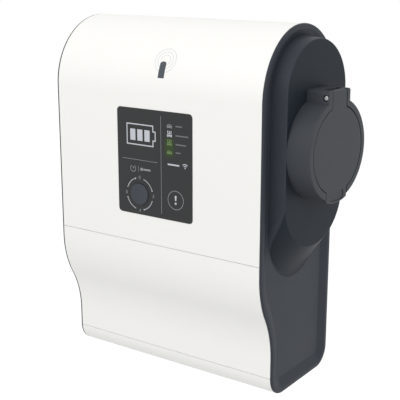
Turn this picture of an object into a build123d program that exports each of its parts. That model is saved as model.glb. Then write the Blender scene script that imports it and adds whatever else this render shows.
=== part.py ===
from build123d import *
import os
from math import atan2, cos, degrees, pi, radians, sin, sqrt

# A wall-hung charging point for electric cars. Millimetres, +Z up, +X to the right, front towards -Y.
# The wall is the plane Y = 0, and the origin is the middle of the four wall holes on that plane.

# Housing outline, seen from the side
height = 450.0
width = 310.0
depth = 170.0
toe_setback = 29.5
step_top_drop = 285.0
step_low_height = 52.0
front_corner_r = 27.0
back_corner_r = 25.0

# Walls, seams and the tongues behind them
wall = 3.0
seam_drop = 272.0
tray_seam_height = 27.0
back_seam_drop = 45.0
seam_gap = 0.6
fit_gap = 0.25
tongue_wall = 1.6
tongue_reach = 6.0
hairline = 0.05
over = 30.0

# Side panels
panel_edge = 2.5
panel_round = 1.8
panel_end_gap = 0.3
skirt_depth = 11.0
skirt_wall = 2.5
rim_band = 6.0
dish_band = 18.0
dish_depth = 5.0
field_wall = 3.0
seal_width = 2.4
seal_groove = 1.2
seal_setback = 2.0

# Pad on the right panel
pad_margin = 21.0
pad_base_low_drop = 306.0
pad_base_high_drop = 13.0
pad_draft = 2.5
pad_top_low_drop = 262.0
pad_top_high_drop = 16.0
pad_rise = 20.6
pad_tilt = 4.57
pad_wall = 3.0
pad_round = 1.5

# Socket housing on the pad
socket_drop = 142.0
barrel_r = 61.0
barrel_tip_r = 59.7
barrel_length = 29.9
barrel_bore_r = 47.0
barrel_floor = 4.0
barrel_round = 1.4
barrel_pocket_wall = 3.0
barrel_pocket_r = 55.5
barrel_pocket_depth = 20.0
barrel_seal_r = 58.2
barrel_seal_width = 2.0
barrel_seal_depth = 1.5
barrel_screw_count = 4
barrel_screw_ring_r = 52.75
barrel_boss_r = 4.2
lug_half = 23.0
lug_top = 70.0
lug_round = 3.0
pin_blind = 2.0
latch_half = 22.0
latch_reach = 62.5
latch_lip = 1.8
latch_lip_depth = 7.0
latch_corner = 2.5
dent_half = 15.0
dent_low_r = 60.0
dent_high_r = 49.5
dent_round = 3.5
dent_depth = 0.9

# Socket lid and its hinge
lid_r = 51.3
lid_gap = 1.0
lid_thick = 4.5
lid_seal_height = 1.0
lid_seal_width = 3.0
lid_seal_inset = 0.4
lid_rib_r = 42.0
lid_rib = 2.0
lid_rib_depth = 4.5
lid_round = 0.9
tab_half = 15.0
pin_height = 62.0
pin_back = 5.0
pin_r = 2.2
pin_fit = 0.08
pin_head_r = 2.9
pin_head = 2.0
pin_head_gap = 0.7
pin_head_sink = 1.0
pin_head_round = 0.9
knuckle_swing_gap = 0.9
tab_top_round = 3.0
spring_half = 5.5
spring_end_gap = 0.5
spring_r = 3.0
spring_wire_r = 0.4
spring_turns = 5
spring_pocket_gap = 0.4
spring_leg_reach = 9.0
spring_leg_gap = 0.4
spring_swing_gap = 2.4

# Socket insert
insert_flange = 4.0
insert_gap = 0.4
insert_cup_r = 35.6
insert_cup_bore_r = 32.0
insert_depth = 38.0
insert_floor = 4.0
insert_core_r = 27.0
insert_core_flat = 20.0
insert_core_setback = 1.5
insert_hole_gap = 0.4
insert_screw_ring_r = 41.5
pad_hole_gap = 2.4
power_contact_r = 4.1
power_contact_bore_r = 3.0
signal_contact_r = 2.5
signal_contact_bore_r = 1.5
contact_fit = 0.05
contact_setback = 6.0
contact_bore_depth = 24.0
contact_tail_share = 0.6
contact_tail = 10.0
power_row_pitch = 16.0
low_row_pitch = 17.0
low_row_drop = 13.5
signal_pitch = 15.0
signal_rise = 11.5

# Plug lock
lock_pad_half = 8.0
lock_pad_top = 37.0
lock_depth = 17.0
lock_length = 24.0
lock_box_half = 16.0
lock_box_height = 28.0
lock_pin_r = 3.0
lock_pin_fit = 0.07
lock_pin_grip = 14.0
lock_pin_setback = 0.4

# Display and dial
display_x = 1.5
display_drop = 169.75
display_width = 113.5
display_tall = 132.5
display_thick = 2.0
display_corner = 5.0
display_proud = 0.3
display_gap = 0.2
window_margin = 4.0
board_thick = 1.6
display_board_margin = 6.0
display_board_setback = 9.0
board_boss_inset = 3.5
board_boss_r = 4.0
dial_aside = -23.0
dial_below = 40.25
dial_r = 13.4
dial_gap = 0.35
dial_proud = 1.8
dial_length = 6.4
dial_round = 0.8
dial_dish_r = 10.5
dial_dish_depth = 0.7
dial_flange_r = 15.5
dial_flange = 1.2
dial_flange_gap = 0.3
dial_shaft_r = 3.0
dial_shaft_fit = 0.05
dial_shaft_grip = 4.2
dial_shaft_end_gap = 0.3
dial_press = 1.2
encoder_side = 13.0
encoder_height = 4.5
encoder_neck_r = 5.0
encoder_neck_gap = 0.3
bar_lamp_width = 8.0
bar_lamp_tall = 14.0
bar_lamp_above = 33.75
bar_lamp_first_aside = -32.5
bar_lamp_pitch = 11.0
bar_lamp_count = 3
state_lamp_width = 9.0
state_lamp_tall = 6.0
state_lamp_aside = 23.0
state_lamp_first_above = 18.75
state_lamp_pitch = 10.5
state_lamp_count = 4

# Card reader behind the rounded top
reader_x = 12.0
reader_turn = 27.0
reader_setback = 10.0
reader_width = 56.0
reader_tall = 34.0
reader_hole_inset = 4.0

# Screws
screw_r = 1.75
screw_fit = 0.05
screw_pass_gap = 0.35
screw_head_r = 3.4
screw_head = 2.2
screw_length = 10.0
boss_r = 4.2

# Wall holes, ribs and ears of the back housing
wall_hole_r = 4.25
wall_hole_side_inset = 45.0
wall_hole_end_inset = 105.0
wall_boss_r = 11.0
wall_boss = 8.0
rib = 2.0
rib_height = 5.0
ear_wall = 3.0
ear_half = 8.0
ear_reach = 27.0
ear_low_height = 45.0
ear_mid_drop = 245.0
ear_high_drop = 105.0
panel_boss = 6.5
ear_screw_y = -20.0

# Upper cover tabs and panel blocks
cover_tab_half = 9.0
cover_tab_drop = 20.0
cover_tab_setback = 6.5
cover_tab_wall = 3.0
cover_screw_inset = 15.0
cover_screw_drop = 14.0
panel_block_depth = 13.0

# Lower cover feet
foot_x = 100.0
foot_half = 9.0
foot_setback = 37.5
foot_wall = 5.0
foot_web = 3.0
foot_web_depth = 12.0
foot_web_rise = 46.0

# Rail and the modules on it
rail_drop = 145.0
rail_end_inset = 65.0
rail_stand = 9.0
rail_tall = 35.0
rail_channel = 27.0
rail_depth = 7.5
rail_wall = 1.0
rail_screw_inset = 7.0
module_tall = 85.0
module_depth = 44.0
module_nose_tall = 45.0
module_nose = 16.0
module_hook = 5.0
module_gap = 4.0
module_round = 1.0
module_width = 18.0
module_terminal_r = 3.0
module_terminal_depth = 5.0
module_slot_tall = 1.6
module_slot_depth = 1.5
module_slot_pitch = 4.8
contactor_unit_count = 3
supply_unit_count = 3
meter_unit_count = 2
contactor_slot_count = 1
supply_slot_count = 6
meter_slot_count = 3

# Control board
control_x = -5.0
control_height = 130.0
control_width = 160.0
control_tall = 110.0
control_stand = 13.0
control_hole_inset = 6.0
relay_width = 20.0
relay_tall = 28.0
relay_depth = 16.0
relay_pitch = 25.0
relay_count = 4
relay_first_share = -0.40
relay_row_share = 0.22
capacitor_r = 6.0
capacitor_length = 24.0
capacitor_pitch = 14.0
capacitor_count = 3
capacitor_first_share = 0.26
capacitor_row_share = 0.24
plug_width = 60.0
plug_tall = 9.0
plug_depth = 9.0
plug_row_share = -0.38
chip_side = 16.0
chip_depth = 2.5
chip_column_share = 0.18
chip_row_share = -0.10

# Terminal block, earth bar and current sensor
terminal_x = -10.0
terminal_height = 45.0
terminal_stand = 8.0
terminal_pitch = 16.0
terminal_count = 5
terminal_tall = 34.0
terminal_depth = 30.0
terminal_step = 10.0
terminal_end = 9.0
terminal_entry_r = 4.5
terminal_entry_depth = 12.0
terminal_entry_back = 10.0
terminal_screw_r = 2.6
terminal_screw_depth = 3.0
earth_x = 80.0
earth_height = 50.0
earth_stand = 12.0
earth_length = 56.0
earth_tall = 10.0
earth_depth = 5.0
earth_screw_inset = 5.0
earth_clamp_count = 3
earth_clamp_pitch = 13.0
earth_clamp_r = 2.5
earth_clamp_head = 3.5

# Cable gland in the floor
gland_x = -70.0
gland_y = -48.0
gland_thread_r = 15.8
gland_hole_gap = 0.4
gland_bore_r = 9.5
gland_flange_r = 20.0
gland_flange = 4.0
gland_collar_r = 14.6
gland_collar = 5.5
gland_nut_r = 18.5
gland_nut_length = 7.5
gland_nut_wall = 2.0
gland_fit = 0.1
gland_thread_inside = 9.0
gland_locknut_r = 22.0
gland_locknut_length = 5.0
gland_seal_wall = 3.0

# Places that follow from the sizes above
arch_r = depth / 2
bottom = -height / 2
top = height / 2
arch_z = top - arch_r
pad_base_half = arch_r - pad_margin
pad_top_half = pad_base_half - pad_draft
middle_y = -depth / 2
front = -depth
toe = toe_setback - depth
foot_y = toe + foot_setback
half_width = width / 2
seam_z = top - seam_drop
tray_seam_z = bottom + tray_seam_height
back_seam_z = top - back_seam_drop
edge_x = half_width - panel_edge
cover_end = edge_x - panel_end_gap
skirt_end = edge_x - skirt_depth
skirt_inset = wall + fit_gap
tongue_inset = wall + fit_gap + tongue_wall
tongue_end = skirt_end - fit_gap
field_x = half_width - dish_depth
field_inner_x = field_x - field_wall
inner_front = front + wall


def block(x0, x1, y0, y1, z0, z1):
    """A box between two corners."""
    size = (x1 - x0, y1 - y0, z1 - z0)
    centre = ((x0 + x1) / 2, (y0 + y1) / 2, (z0 + z1) / 2)
    return Pos(*centre) * Box(*size)


def rod(start, end, radius):
    """A round bar from one point to another."""
    start = Vector(*start)
    run = Vector(*end) - start
    return Solid.make_cylinder(radius, run.length, Plane(origin=start, z_dir=run))


def side_face(inset=0.0):
    """The housing's outline from the side: rounded top, stepped front, rounded foot."""
    step_top = top - step_top_drop
    step_low = bottom + step_low_height
    halfway = ((front + toe) / 2, (step_top + step_low) / 2)
    bulge = TangentArc((front, step_top), halfway, tangent=(0, -1))
    hollow = TangentArc(halfway, (toe, step_low), tangent=bulge % 1)
    front_foot = (toe, bottom + front_corner_r)
    floor_front = (toe + front_corner_r, bottom)
    floor_back = (-back_corner_r, bottom)
    back_foot = (0, bottom + back_corner_r)
    outline = [
        ThreePointArc((0, arch_z), (middle_y, top), (front, arch_z)),
        Line((front, arch_z), (front, step_top)),
        bulge,
        hollow,
        Line((toe, step_low), front_foot),
        TangentArc(front_foot, floor_front, tangent=(0, -1)),
        Line(floor_front, floor_back),
        TangentArc(floor_back, back_foot, tangent=(1, 0)),
        Line(back_foot, (0, arch_z)),
    ]
    face = make_face(outline)
    return offset(face, -inset) if inset else face


def slab(inset, x0, x1):
    """The side outline, drawn in by inset, between two planes across the width."""
    return extrude(Plane.YZ.offset(x0) * side_face(inset), x1 - x0, dir=(1, 0, 0))


def ring(outer_inset, inner_inset, x0, x1):
    """A wall that follows the side outline."""
    return slab(outer_inset, x0, x1) - slab(inner_inset, x0, x1)


def tongue(seam, way, y0, y1):
    """The thin wall behind a seam: rooted on one side of it, way is 1 upward and -1 downward."""
    root_end = seam - way * tongue_reach
    shoulder = seam - way * seam_gap / 2
    tip = seam + way * tongue_reach
    root_zone = block(-tongue_end, tongue_end, y0, y1, *sorted((root_end, shoulder)))
    free_zone = block(-tongue_end, tongue_end, y0, y1, *sorted((shoulder, tip)))
    root = ring(wall, tongue_inset, -tongue_end, tongue_end) & root_zone
    free = ring(skirt_inset, tongue_inset, -tongue_end, tongue_end) & free_zone
    return root + free


def screw(head_seat, way, length=screw_length):
    """A pan-head screw whose head sits on head_seat and whose shank runs along way."""
    seat = Vector(*head_seat)
    way = Vector(*way).normalized()
    shank = rod(seat, seat + way * length, screw_r)
    head = rod(seat - way * screw_head, seat, screw_head_r)
    return shank + head


def pilot(seat, way, length=screw_length):
    """The blind hole that a screw's shank runs in."""
    seat = Vector(*seat)
    way = Vector(*way).normalized()
    return rod(seat, seat + way * (length + screw_fit), screw_r + screw_fit)


def both_sides(shape):
    """A shape and its mirror image across the middle plane."""
    return shape + mirror(shape, about=Plane.YZ)


# Socket frame: u towards the wall, v up, w out of the pad
tilt = radians(pad_tilt)
socket_normal = Vector(cos(tilt), -sin(tilt), 0)
socket_u = Vector(sin(tilt), cos(tilt), 0)
socket_z = top - socket_drop
socket_origin = Vector(half_width + pad_rise, middle_y, socket_z)
socket_plane = Plane(origin=socket_origin, x_dir=socket_u, z_dir=socket_normal)
pin_w = barrel_length - pin_back
lid_back_w = barrel_length - lid_thick
ledge_w = lid_back_w - lid_seal_height
seat_r = lid_r + lid_gap


def on_socket(shape):
    """Carries a shape from the socket's own frame to its place on the pad."""
    return socket_plane.location * shape


def ring_points(radius, count, turn):
    """Points evenly spaced on a circle, in the socket's own frame."""
    angles = [turn + 2 * pi * index / count for index in range(count)]
    return [(radius * cos(angle), radius * sin(angle)) for angle in angles]


barrel_screw_points = ring_points(barrel_screw_ring_r, barrel_screw_count, pi / 4)
insert_screw_points = ring_points(insert_screw_ring_r, barrel_screw_count, pi / 4)


# Screw places that two pieces share
ear_outer_x = field_inner_x - panel_boss
ear_inner_x = ear_outer_x - ear_wall
ear_levels = [bottom + ear_low_height, top - ear_mid_drop, top - ear_high_drop]
wall_hole_half_x = half_width - wall_hole_side_inset
wall_hole_half_z = height / 2 - wall_hole_end_inset
wall_hole_points = [(x, z) for x in (-wall_hole_half_x, wall_hole_half_x)
                    for z in (-wall_hole_half_z, wall_hole_half_z)]
cover_tab_x = field_inner_x - cover_screw_inset
cover_tab_y = inner_front + cover_tab_setback
cover_screw_z = seam_z - cover_screw_drop
floor_z = bottom + wall
rail_y = -wall - rail_stand
rail_z = top - rail_drop
rail_front_y = rail_y - rail_depth
rail_half = half_width - rail_end_inset
rail_screw_xs = [rail_screw_inset - rail_half, rail_half - rail_screw_inset]
control_y = -wall - control_stand
control_z = bottom + control_height
control_hole_x = control_width / 2 - control_hole_inset
control_hole_z = control_tall / 2 - control_hole_inset
control_holes = [(control_x + x, control_z + z) for x in (-control_hole_x, control_hole_x)
                 for z in (-control_hole_z, control_hole_z)]
terminal_y = -wall - terminal_stand
terminal_z = bottom + terminal_height
terminal_half = terminal_count * terminal_pitch / 2
terminal_screw_xs = [terminal_x + side * (terminal_half + terminal_end / 2) for side in (-1, 1)]
earth_y = -wall - earth_stand
earth_z = bottom + earth_height
display_z = top - display_drop
earth_screw_xs = [earth_x + side * (earth_length / 2 - earth_screw_inset) for side in (-1, 1)]


# Housing mouldings
def ear(z):
    """A lug on the back wall that a side panel's boss is screwed to."""
    plate = block(ear_inner_x, ear_outer_x, -wall - ear_reach, -wall, z - ear_half, z + ear_half)
    nose = plate.edges().filter_by(Axis.X).group_by(Axis.Y)[0]
    return fillet(nose, ear_half / 2)


def back_posts():
    """Round posts on the back wall for the rail, the control board, the terminals and the earth bar."""
    seats = [(x, rail_y, rail_z) for x in rail_screw_xs]
    seats += [(x, control_y, z) for x, z in control_holes]
    seats += [(x, terminal_y, terminal_z) for x in terminal_screw_xs]
    seats += [(x, earth_y, earth_z) for x in earth_screw_xs]
    return [rod((x, -wall, z), (x, y, z), boss_r) for x, y, z in seats]


def back_housing():
    """Back wall, floor and front lip in one moulding, with its posts, ribs, ears and wall bosses."""
    back_zone = block(-half_width, half_width, middle_y, over, bottom - over, back_seam_z - seam_gap / 2)
    tray_top = tray_seam_z - seam_gap / 2
    tray_zone = block(-half_width, half_width, front - over, middle_y, bottom - over, tray_top)
    body = ring(0, wall, -cover_end, cover_end) & (back_zone + tray_zone)
    body += tongue(tray_seam_z, 1, front, toe + front_corner_r)
    body += tongue(back_seam_z, 1, middle_y, 0)
    rib_y = -wall - rib_height
    rib_low = bottom + back_corner_r
    for x in (-wall_hole_half_x, 0, wall_hole_half_x):
        body += block(x - rib / 2, x + rib / 2, rib_y, -wall, rib_low, arch_z)
    for z in (-wall_hole_half_z, wall_hole_half_z):
        body += block(-wall_hole_half_x, wall_hole_half_x, rib_y, -wall, z - rib / 2, z + rib / 2)
    for x, z in wall_hole_points:
        body += rod((x, -wall, z), (x, -wall - wall_boss, z), wall_boss_r)
    for z in ear_levels:
        body += both_sides(ear(z))
    body += back_posts()
    for x, z in wall_hole_points:
        body -= rod((x, over, z), (x, -over, z), wall_hole_r)
    for seat, way, length in back_screws():
        body -= pilot(seat, way, length)
    for z in ear_levels:
        hole_start = (ear_inner_x - ear_wall, ear_screw_y, z)
        hole_end = (half_width, ear_screw_y, z)
        body -= both_sides(rod(hole_start, hole_end, screw_r + screw_pass_gap))
    for x in (-foot_x, foot_x):
        body -= rod((x, foot_y, bottom - over), (x, foot_y, floor_z + wall), screw_r + screw_pass_gap)
    gland_hole_r = gland_thread_r + gland_hole_gap
    body -= rod((gland_x, gland_y, bottom - over), (gland_x, gland_y, floor_z + wall), gland_hole_r)
    return body


def back_screws():
    """Seat, way and length of each screw driven into the back wall's posts."""
    rail_seat = rail_y - rail_wall
    control_seat = control_y - board_thick
    terminal_seat = terminal_y - terminal_step / 2
    earth_seat = earth_y - earth_depth
    seats = [(x, rail_seat, rail_z) for x in rail_screw_xs]
    seats += [(x, control_seat, z) for x, z in control_holes]
    seats += [(x, terminal_seat, terminal_z) for x in terminal_screw_xs]
    seats += [(x, earth_seat, earth_z) for x in earth_screw_xs]
    return [(seat, (0, 1, 0), screw_length) for seat in seats]


def display_opening():
    """The stepped window in the upper cover: a seat for the display panel, then a smaller opening."""
    middle = Plane(origin=(display_x, front, display_z), x_dir=(1, 0, 0), z_dir=(0, -1, 0))
    seat_width = display_width + 2 * display_gap
    seat_tall = display_tall + 2 * display_gap
    seat = RectangleRounded(seat_width, seat_tall, display_corner + display_gap)
    seat_depth = display_thick - display_proud
    pocket = extrude(middle.offset(-seat_depth) * seat, over, dir=(0, -1, 0))
    window = Rectangle(display_width - 2 * window_margin, display_tall - 2 * window_margin)
    through = extrude(middle.offset(-2 * wall) * window, over, dir=(0, -1, 0))
    return pocket + through


def cover_tab():
    """The tab of the upper cover that hangs behind the lower cover and takes a screw."""
    x0 = cover_tab_x - cover_tab_half
    x1 = cover_tab_x + cover_tab_half
    tab_back = cover_tab_y + cover_tab_wall
    shelf_top = seam_z + tongue_reach
    shelf_low = shelf_top - cover_tab_wall
    plate = block(x0, x1, cover_tab_y, tab_back, seam_z - cover_tab_drop, shelf_top)
    shelf = block(x0, x1, inner_front, tab_back, shelf_low, shelf_top)
    hole_r = screw_r + screw_pass_gap
    hole = rod((cover_tab_x, inner_front, cover_screw_z), (cover_tab_x, middle_y, cover_screw_z), hole_r)
    return plate + shelf - hole


board_front_y = inner_front + display_board_setback
board_half_x = display_width / 2 + display_board_margin
board_half_z = display_tall / 2 + display_board_margin
board_holes = [(display_x + x, display_z + z)
               for x in (board_boss_inset - board_half_x, board_half_x - board_boss_inset)
               for z in (board_boss_inset - board_half_z, board_half_z - board_boss_inset)]
reader_angle = radians(reader_turn)
reader_way = Vector(0, -cos(reader_angle), sin(reader_angle))
reader_r = arch_r - wall - reader_setback
reader_plane = Plane(
    origin=Vector(reader_x, middle_y, arch_z) + reader_way * reader_r, x_dir=(1, 0, 0), z_dir=reader_way)
reader_hole_x = reader_width / 2 - reader_hole_inset


def upper_cover():
    """The white cover over the front and the rounded top, with the display's window and bosses."""
    front_zone = block(-half_width, half_width, front - over, middle_y, seam_z + seam_gap / 2, top + over)
    back_zone = block(-half_width, half_width, middle_y, over, back_seam_z + seam_gap / 2, top + over)
    body = ring(0, wall, -cover_end, cover_end) & (front_zone + back_zone)
    body += tongue(seam_z, -1, front, middle_y)
    body += both_sides(cover_tab())
    body -= display_opening()
    for x, z in board_holes:
        body += rod((x, inner_front - wall / 2, z), (x, board_front_y, z), board_boss_r)
        body -= pilot((x, board_front_y + board_thick, z), (0, -1, 0))
    for x in (-reader_hole_x, reader_hole_x):
        boss = rod((x, 0, 0), (x, 0, reader_setback + wall / 2), board_boss_r)
        body += reader_plane.location * boss
        body -= reader_plane.location * pilot((x, 0, -board_thick), (0, 0, 1))
    return body


def lower_cover():
    """The white cover over the stepped foot, held by two feet screwed from under the floor."""
    low_z = tray_seam_z + seam_gap / 2
    high_z = seam_z - seam_gap / 2
    zone = block(-half_width, half_width, front - over, middle_y, low_z, high_z)
    body = ring(0, wall, -cover_end, cover_end) & zone
    clear_inset = tongue_inset + fit_gap
    web_inset = clear_inset + foot_web_depth
    clear_z = tray_seam_z + tongue_reach + fit_gap
    for x in (-foot_x, foot_x):
        x0 = x - foot_web / 2
        x1 = x + foot_web / 2
        low_web = ring(clear_inset, web_inset, x0, x1) & block(x0, x1, front, foot_y, bottom, clear_z)
        high_zone = block(x0, x1, front, foot_y, clear_z, tray_seam_z + foot_web_rise)
        high_web = ring(wall / 2, web_inset, x0, x1) & high_zone
        foot = block(x - foot_half, x + foot_half, foot_y - foot_half, foot_y + foot_half,
                     floor_z + hairline, floor_z + foot_wall)
        body += [low_web, high_web, foot]
        body -= pilot((x, foot_y, bottom), (0, 0, 1))
    return body


def side_panel():
    """The right-hand side panel without its pad: rounded edge, shallow dished field, skirt and bosses."""
    body = slab(0, edge_x, half_width)
    brim = body.edges().filter_by_position(Axis.X, half_width - hairline, half_width + hairline)
    body = fillet(brim, panel_round)
    body += slab(skirt_inset, skirt_end, edge_x)
    brink = Plane.YZ.offset(half_width) * side_face(rim_band)
    field = Plane.YZ.offset(field_x) * side_face(dish_band)
    body -= loft([brink, field], ruled=True)
    body -= slab(skirt_inset + skirt_wall, skirt_end, field_inner_x)
    groove_x1 = edge_x - seal_setback
    groove_x0 = groove_x1 - seal_width
    body -= ring(skirt_inset - fit_gap, skirt_inset + seal_groove, groove_x0, groove_x1)
    for z in ear_levels:
        body += rod((ear_outer_x, ear_screw_y, z), (field_inner_x + field_wall / 2, ear_screw_y, z), boss_r)
    block_y = cover_tab_y + cover_tab_wall
    body += block(cover_tab_x - cover_tab_half, field_inner_x + field_wall / 2,
                  block_y, block_y + panel_block_depth,
                  seam_z - cover_tab_drop, cover_screw_z + boss_r + cover_tab_wall / 2)
    return body


def drilled(panel):
    """A right-hand panel with the pilot holes for its own screws and for the upper cover's screw."""
    for z in ear_levels:
        panel -= pilot((ear_inner_x, ear_screw_y, z), (1, 0, 0))
    return panel - pilot((cover_tab_x, cover_tab_y, cover_screw_z), (0, 1, 0))


def pad_outline(plane, centre_x, half, low, high):
    """The oblong outline of the pad on a plane whose second axis is up."""
    oblong = SlotCenterToCenter(high - low - 2 * half, 2 * half, rotation=90)
    return plane * (Pos(centre_x, (low + high) / 2) * oblong)


def pad_form(inset):
    """The pad from the panel's inner face to its tilted top, drawn in by inset all round."""
    base_low = top - pad_base_low_drop + inset
    base_high = top - pad_base_high_drop - inset
    top_low = top - pad_top_low_drop - socket_z + inset
    top_high = top - pad_top_high_drop - socket_z - inset
    base_plane = Plane.YZ.offset(field_inner_x)
    base = pad_outline(base_plane, middle_y, pad_base_half - inset, base_low, base_high)
    top_face = pad_outline(socket_plane.offset(-inset), 0, pad_top_half - inset, top_low, top_high)
    return loft([base, top_face])


def right_side_panel():
    """The right side panel with the hollow pad that carries the socket."""
    pad = pad_form(0)
    pad = fillet(pad.faces().sort_by(Axis.X)[-1].edges(), pad_round)
    body = side_panel() + pad - pad_form(pad_wall)
    body -= on_socket(rod((0, 0, -over), (0, 0, over), insert_cup_r + pad_hole_gap))
    for u, v in barrel_screw_points:
        body -= on_socket(rod((u, v, -over), (u, v, over), screw_r + screw_pass_gap))
    return drilled(body)


def panel_seal():
    """The soft cord in the right panel's skirt that closes the end of the covers."""
    x1 = edge_x - seal_setback
    x0 = x1 - seal_width
    return ring(wall + hairline, skirt_inset + seal_groove - hairline, x0, x1)


# Socket housing, lid and hinge, all in the socket's own frame
def annulus(outer_r, inner_r, w0, w1):
    """A flat ring about the socket's axis."""
    return rod((0, 0, w0), (0, 0, w1), outer_r) - rod((0, 0, w0), (0, 0, w1), inner_r)


knuckle_r = lug_top - pin_height
swing_r = sqrt((knuckle_r - tab_top_round) ** 2 + (pin_back - tab_top_round) ** 2) + tab_top_round
slot_floor_w = pin_w - swing_r - knuckle_swing_gap


def barrel_pocket():
    """The space that lightens the housing from behind, leaving the screw bosses and the lug solid."""
    pocket = annulus(barrel_pocket_r, barrel_bore_r + barrel_pocket_wall, 0, barrel_pocket_depth)
    lug_side = lug_half + barrel_pocket_wall
    pocket -= block(-lug_side, lug_side, 0, lug_top, 0, barrel_length)
    for u, v in barrel_screw_points:
        pocket -= rod((u, v, 0), (u, v, barrel_length), barrel_boss_r)
    return pocket


def lid_plan():
    """The lid seen from outside: a disc, the hinge tab above it and the wide finger tab below."""
    tab = Pos(0, lug_top / 2) * Rectangle(2 * tab_half, lug_top)
    latch = Circle(latch_reach) & (Pos(0, -latch_reach / 2) * Rectangle(2 * latch_half, latch_reach))
    plan = Circle(lid_r) + tab + latch
    tips = plan.vertices().group_by(Axis.Y)
    plan = fillet(tips[-1], lug_round)
    plan = fillet(plan.vertices().group_by(Axis.Y)[0], latch_corner)
    necks = [corner for corner in plan.vertices() if abs(abs(corner.X) - tab_half) < hairline
             and 0 < corner.Y < lid_r]
    return fillet(necks, lug_round)


def socket_housing():
    """The short round housing with its hinge lug, lid seat and finger notch."""
    body = Cone(barrel_r, barrel_tip_r, barrel_length, align=(Align.CENTER, Align.CENTER, Align.MIN))
    lug = block(-lug_half, lug_half, 0, lug_top, 0, barrel_length)
    lug = fillet(lug.edges().filter_by(Axis.Z).group_by(Axis.Y)[-1], lug_round)
    body = body + lug
    body = fillet(body.edges().group_by(Axis.Z)[-1], barrel_round)
    body -= rod((0, 0, barrel_floor), (0, 0, barrel_length), barrel_bore_r)
    seat = offset(lid_plan(), lid_gap)
    body -= extrude(Plane.XY.offset(ledge_w) * seat, barrel_length, dir=(0, 0, 1))
    body -= rod((0, 0, 0), (0, 0, barrel_floor), insert_cup_r + insert_gap)
    body -= barrel_pocket()
    half_seal = barrel_seal_width / 2
    body -= annulus(barrel_seal_r + half_seal, barrel_seal_r - half_seal, 0, barrel_seal_depth)
    slot_half = tab_half + lid_gap
    body -= block(-slot_half, slot_half, seat_r, lug_top + over, slot_floor_w, barrel_length + over)
    pin_line = [(u, pin_height, pin_w) for u in (-lug_half - over, lug_half - pin_blind)]
    body -= rod(*pin_line, pin_r + hairline)
    head_u = -lug_half + pin_head + pin_head_sink
    body -= rod((-lug_half - over, pin_height, pin_w), (head_u, pin_height, pin_w), pin_head_r + pin_head_gap)
    for u, v in barrel_screw_points:
        body -= pilot((u, v, -pad_wall), (0, 0, 1))
    for u, v in insert_screw_points:
        body -= rod((u, v, 0), (u, v, barrel_floor), screw_r + screw_fit)
    return body


def housing_gasket():
    """The sealing ring in the foot of the socket housing."""
    half_seal = barrel_seal_width / 2 - hairline
    return annulus(barrel_seal_r + half_seal, barrel_seal_r - half_seal, 0, barrel_seal_depth)


def latch_sector(outer_r, inner_r, half, w0, w1):
    """The part of a ring about the socket's axis that lies within the finger tab's width."""
    return annulus(outer_r, inner_r, w0, w1) & block(-half, half, -outer_r, 0, w0, w1)


def thumb_dent():
    """The shallow hollow in the finger tab that a thumb finds."""
    plan = Circle(dent_low_r) - Circle(dent_high_r)
    plan &= Pos(0, -dent_low_r / 2) * Rectangle(2 * dent_half, dent_low_r)
    plan = fillet(plan.vertices(), dent_round)
    return extrude(Plane.XY.offset(barrel_length - dent_depth) * plan, over, dir=(0, 0, 1))


def hinge_knuckle():
    """The round of the hinge tab about the pin, level with the ears' top and flush with the lid."""
    knuckle = rod((-tab_half, pin_height, pin_w), (tab_half, pin_height, pin_w), knuckle_r)
    knuckle += block(-tab_half, tab_half, pin_height - knuckle_r, lug_top, pin_w, lid_back_w)
    return knuckle & block(-tab_half, tab_half, pin_height - knuckle_r, lug_top, 0, lid_back_w)


def tab_corner():
    """What is taken off the hinge tab's top front edge to round it."""
    low_v = lug_top - tab_top_round
    low_w = barrel_length - tab_top_round
    corner = block(-lug_half, lug_half, low_v, lug_top + over, low_w, barrel_length + over)
    return corner - rod((-lug_half, low_v, low_w), (lug_half, low_v, low_w), tab_top_round)


def spring_room():
    """The hollow about the coil, and the slots in which its two legs stay as the knuckle turns."""
    back_w = pin_w - 2 * knuckle_r
    room = rod((-spring_half, pin_height, pin_w), (spring_half, pin_height, pin_w),
               spring_r + spring_wire_r + spring_pocket_gap)
    room += block(-spring_half, spring_half, pin_height - 2 * knuckle_r, pin_height + spring_swing_gap,
                  back_w, lid_back_w)
    leg_half = spring_wire_r + spring_leg_gap
    leg_u = spring_end_gap + spring_wire_r - spring_half
    return room + block(leg_u - leg_half, leg_u + leg_half, pin_height, lug_top + over, back_w, pin_w)


def socket_lid():
    """The round lid: hinge tab with its knuckle above, finger tab below, stiffening ribs behind."""
    body = extrude(Plane.XY.offset(lid_back_w) * lid_plan(), lid_thick, dir=(0, 0, 1))
    body = fillet(body.edges().group_by(Axis.Z)[-1], lid_round)
    body -= thumb_dent()
    lip_w = barrel_length - latch_lip_depth
    body += latch_sector(latch_reach, latch_reach - latch_lip, latch_half - latch_corner, lip_w, lid_back_w)
    body += hinge_knuckle()
    body -= tab_corner()
    rib_w = lid_back_w - lid_rib_depth
    body += annulus(lid_rib_r, lid_rib_r - lid_rib, rib_w, lid_back_w)
    half_rib = lid_rib / 2
    body += block(-half_rib, half_rib, lid_rib - lid_rib_r, lid_rib_r - lid_rib, rib_w, lid_back_w)
    body += block(lid_rib - lid_rib_r, lid_rib_r - lid_rib, -half_rib, half_rib, rib_w, lid_back_w)
    body -= spring_room()
    body -= rod((-lug_half, pin_height, pin_w), (lug_half, pin_height, pin_w), pin_r + pin_fit)
    return body


def lid_gasket():
    """The flat sealing ring under the lid's edge."""
    outer_r = lid_r - lid_seal_inset
    return annulus(outer_r, outer_r - lid_seal_width, ledge_w + hairline, lid_back_w)


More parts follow.
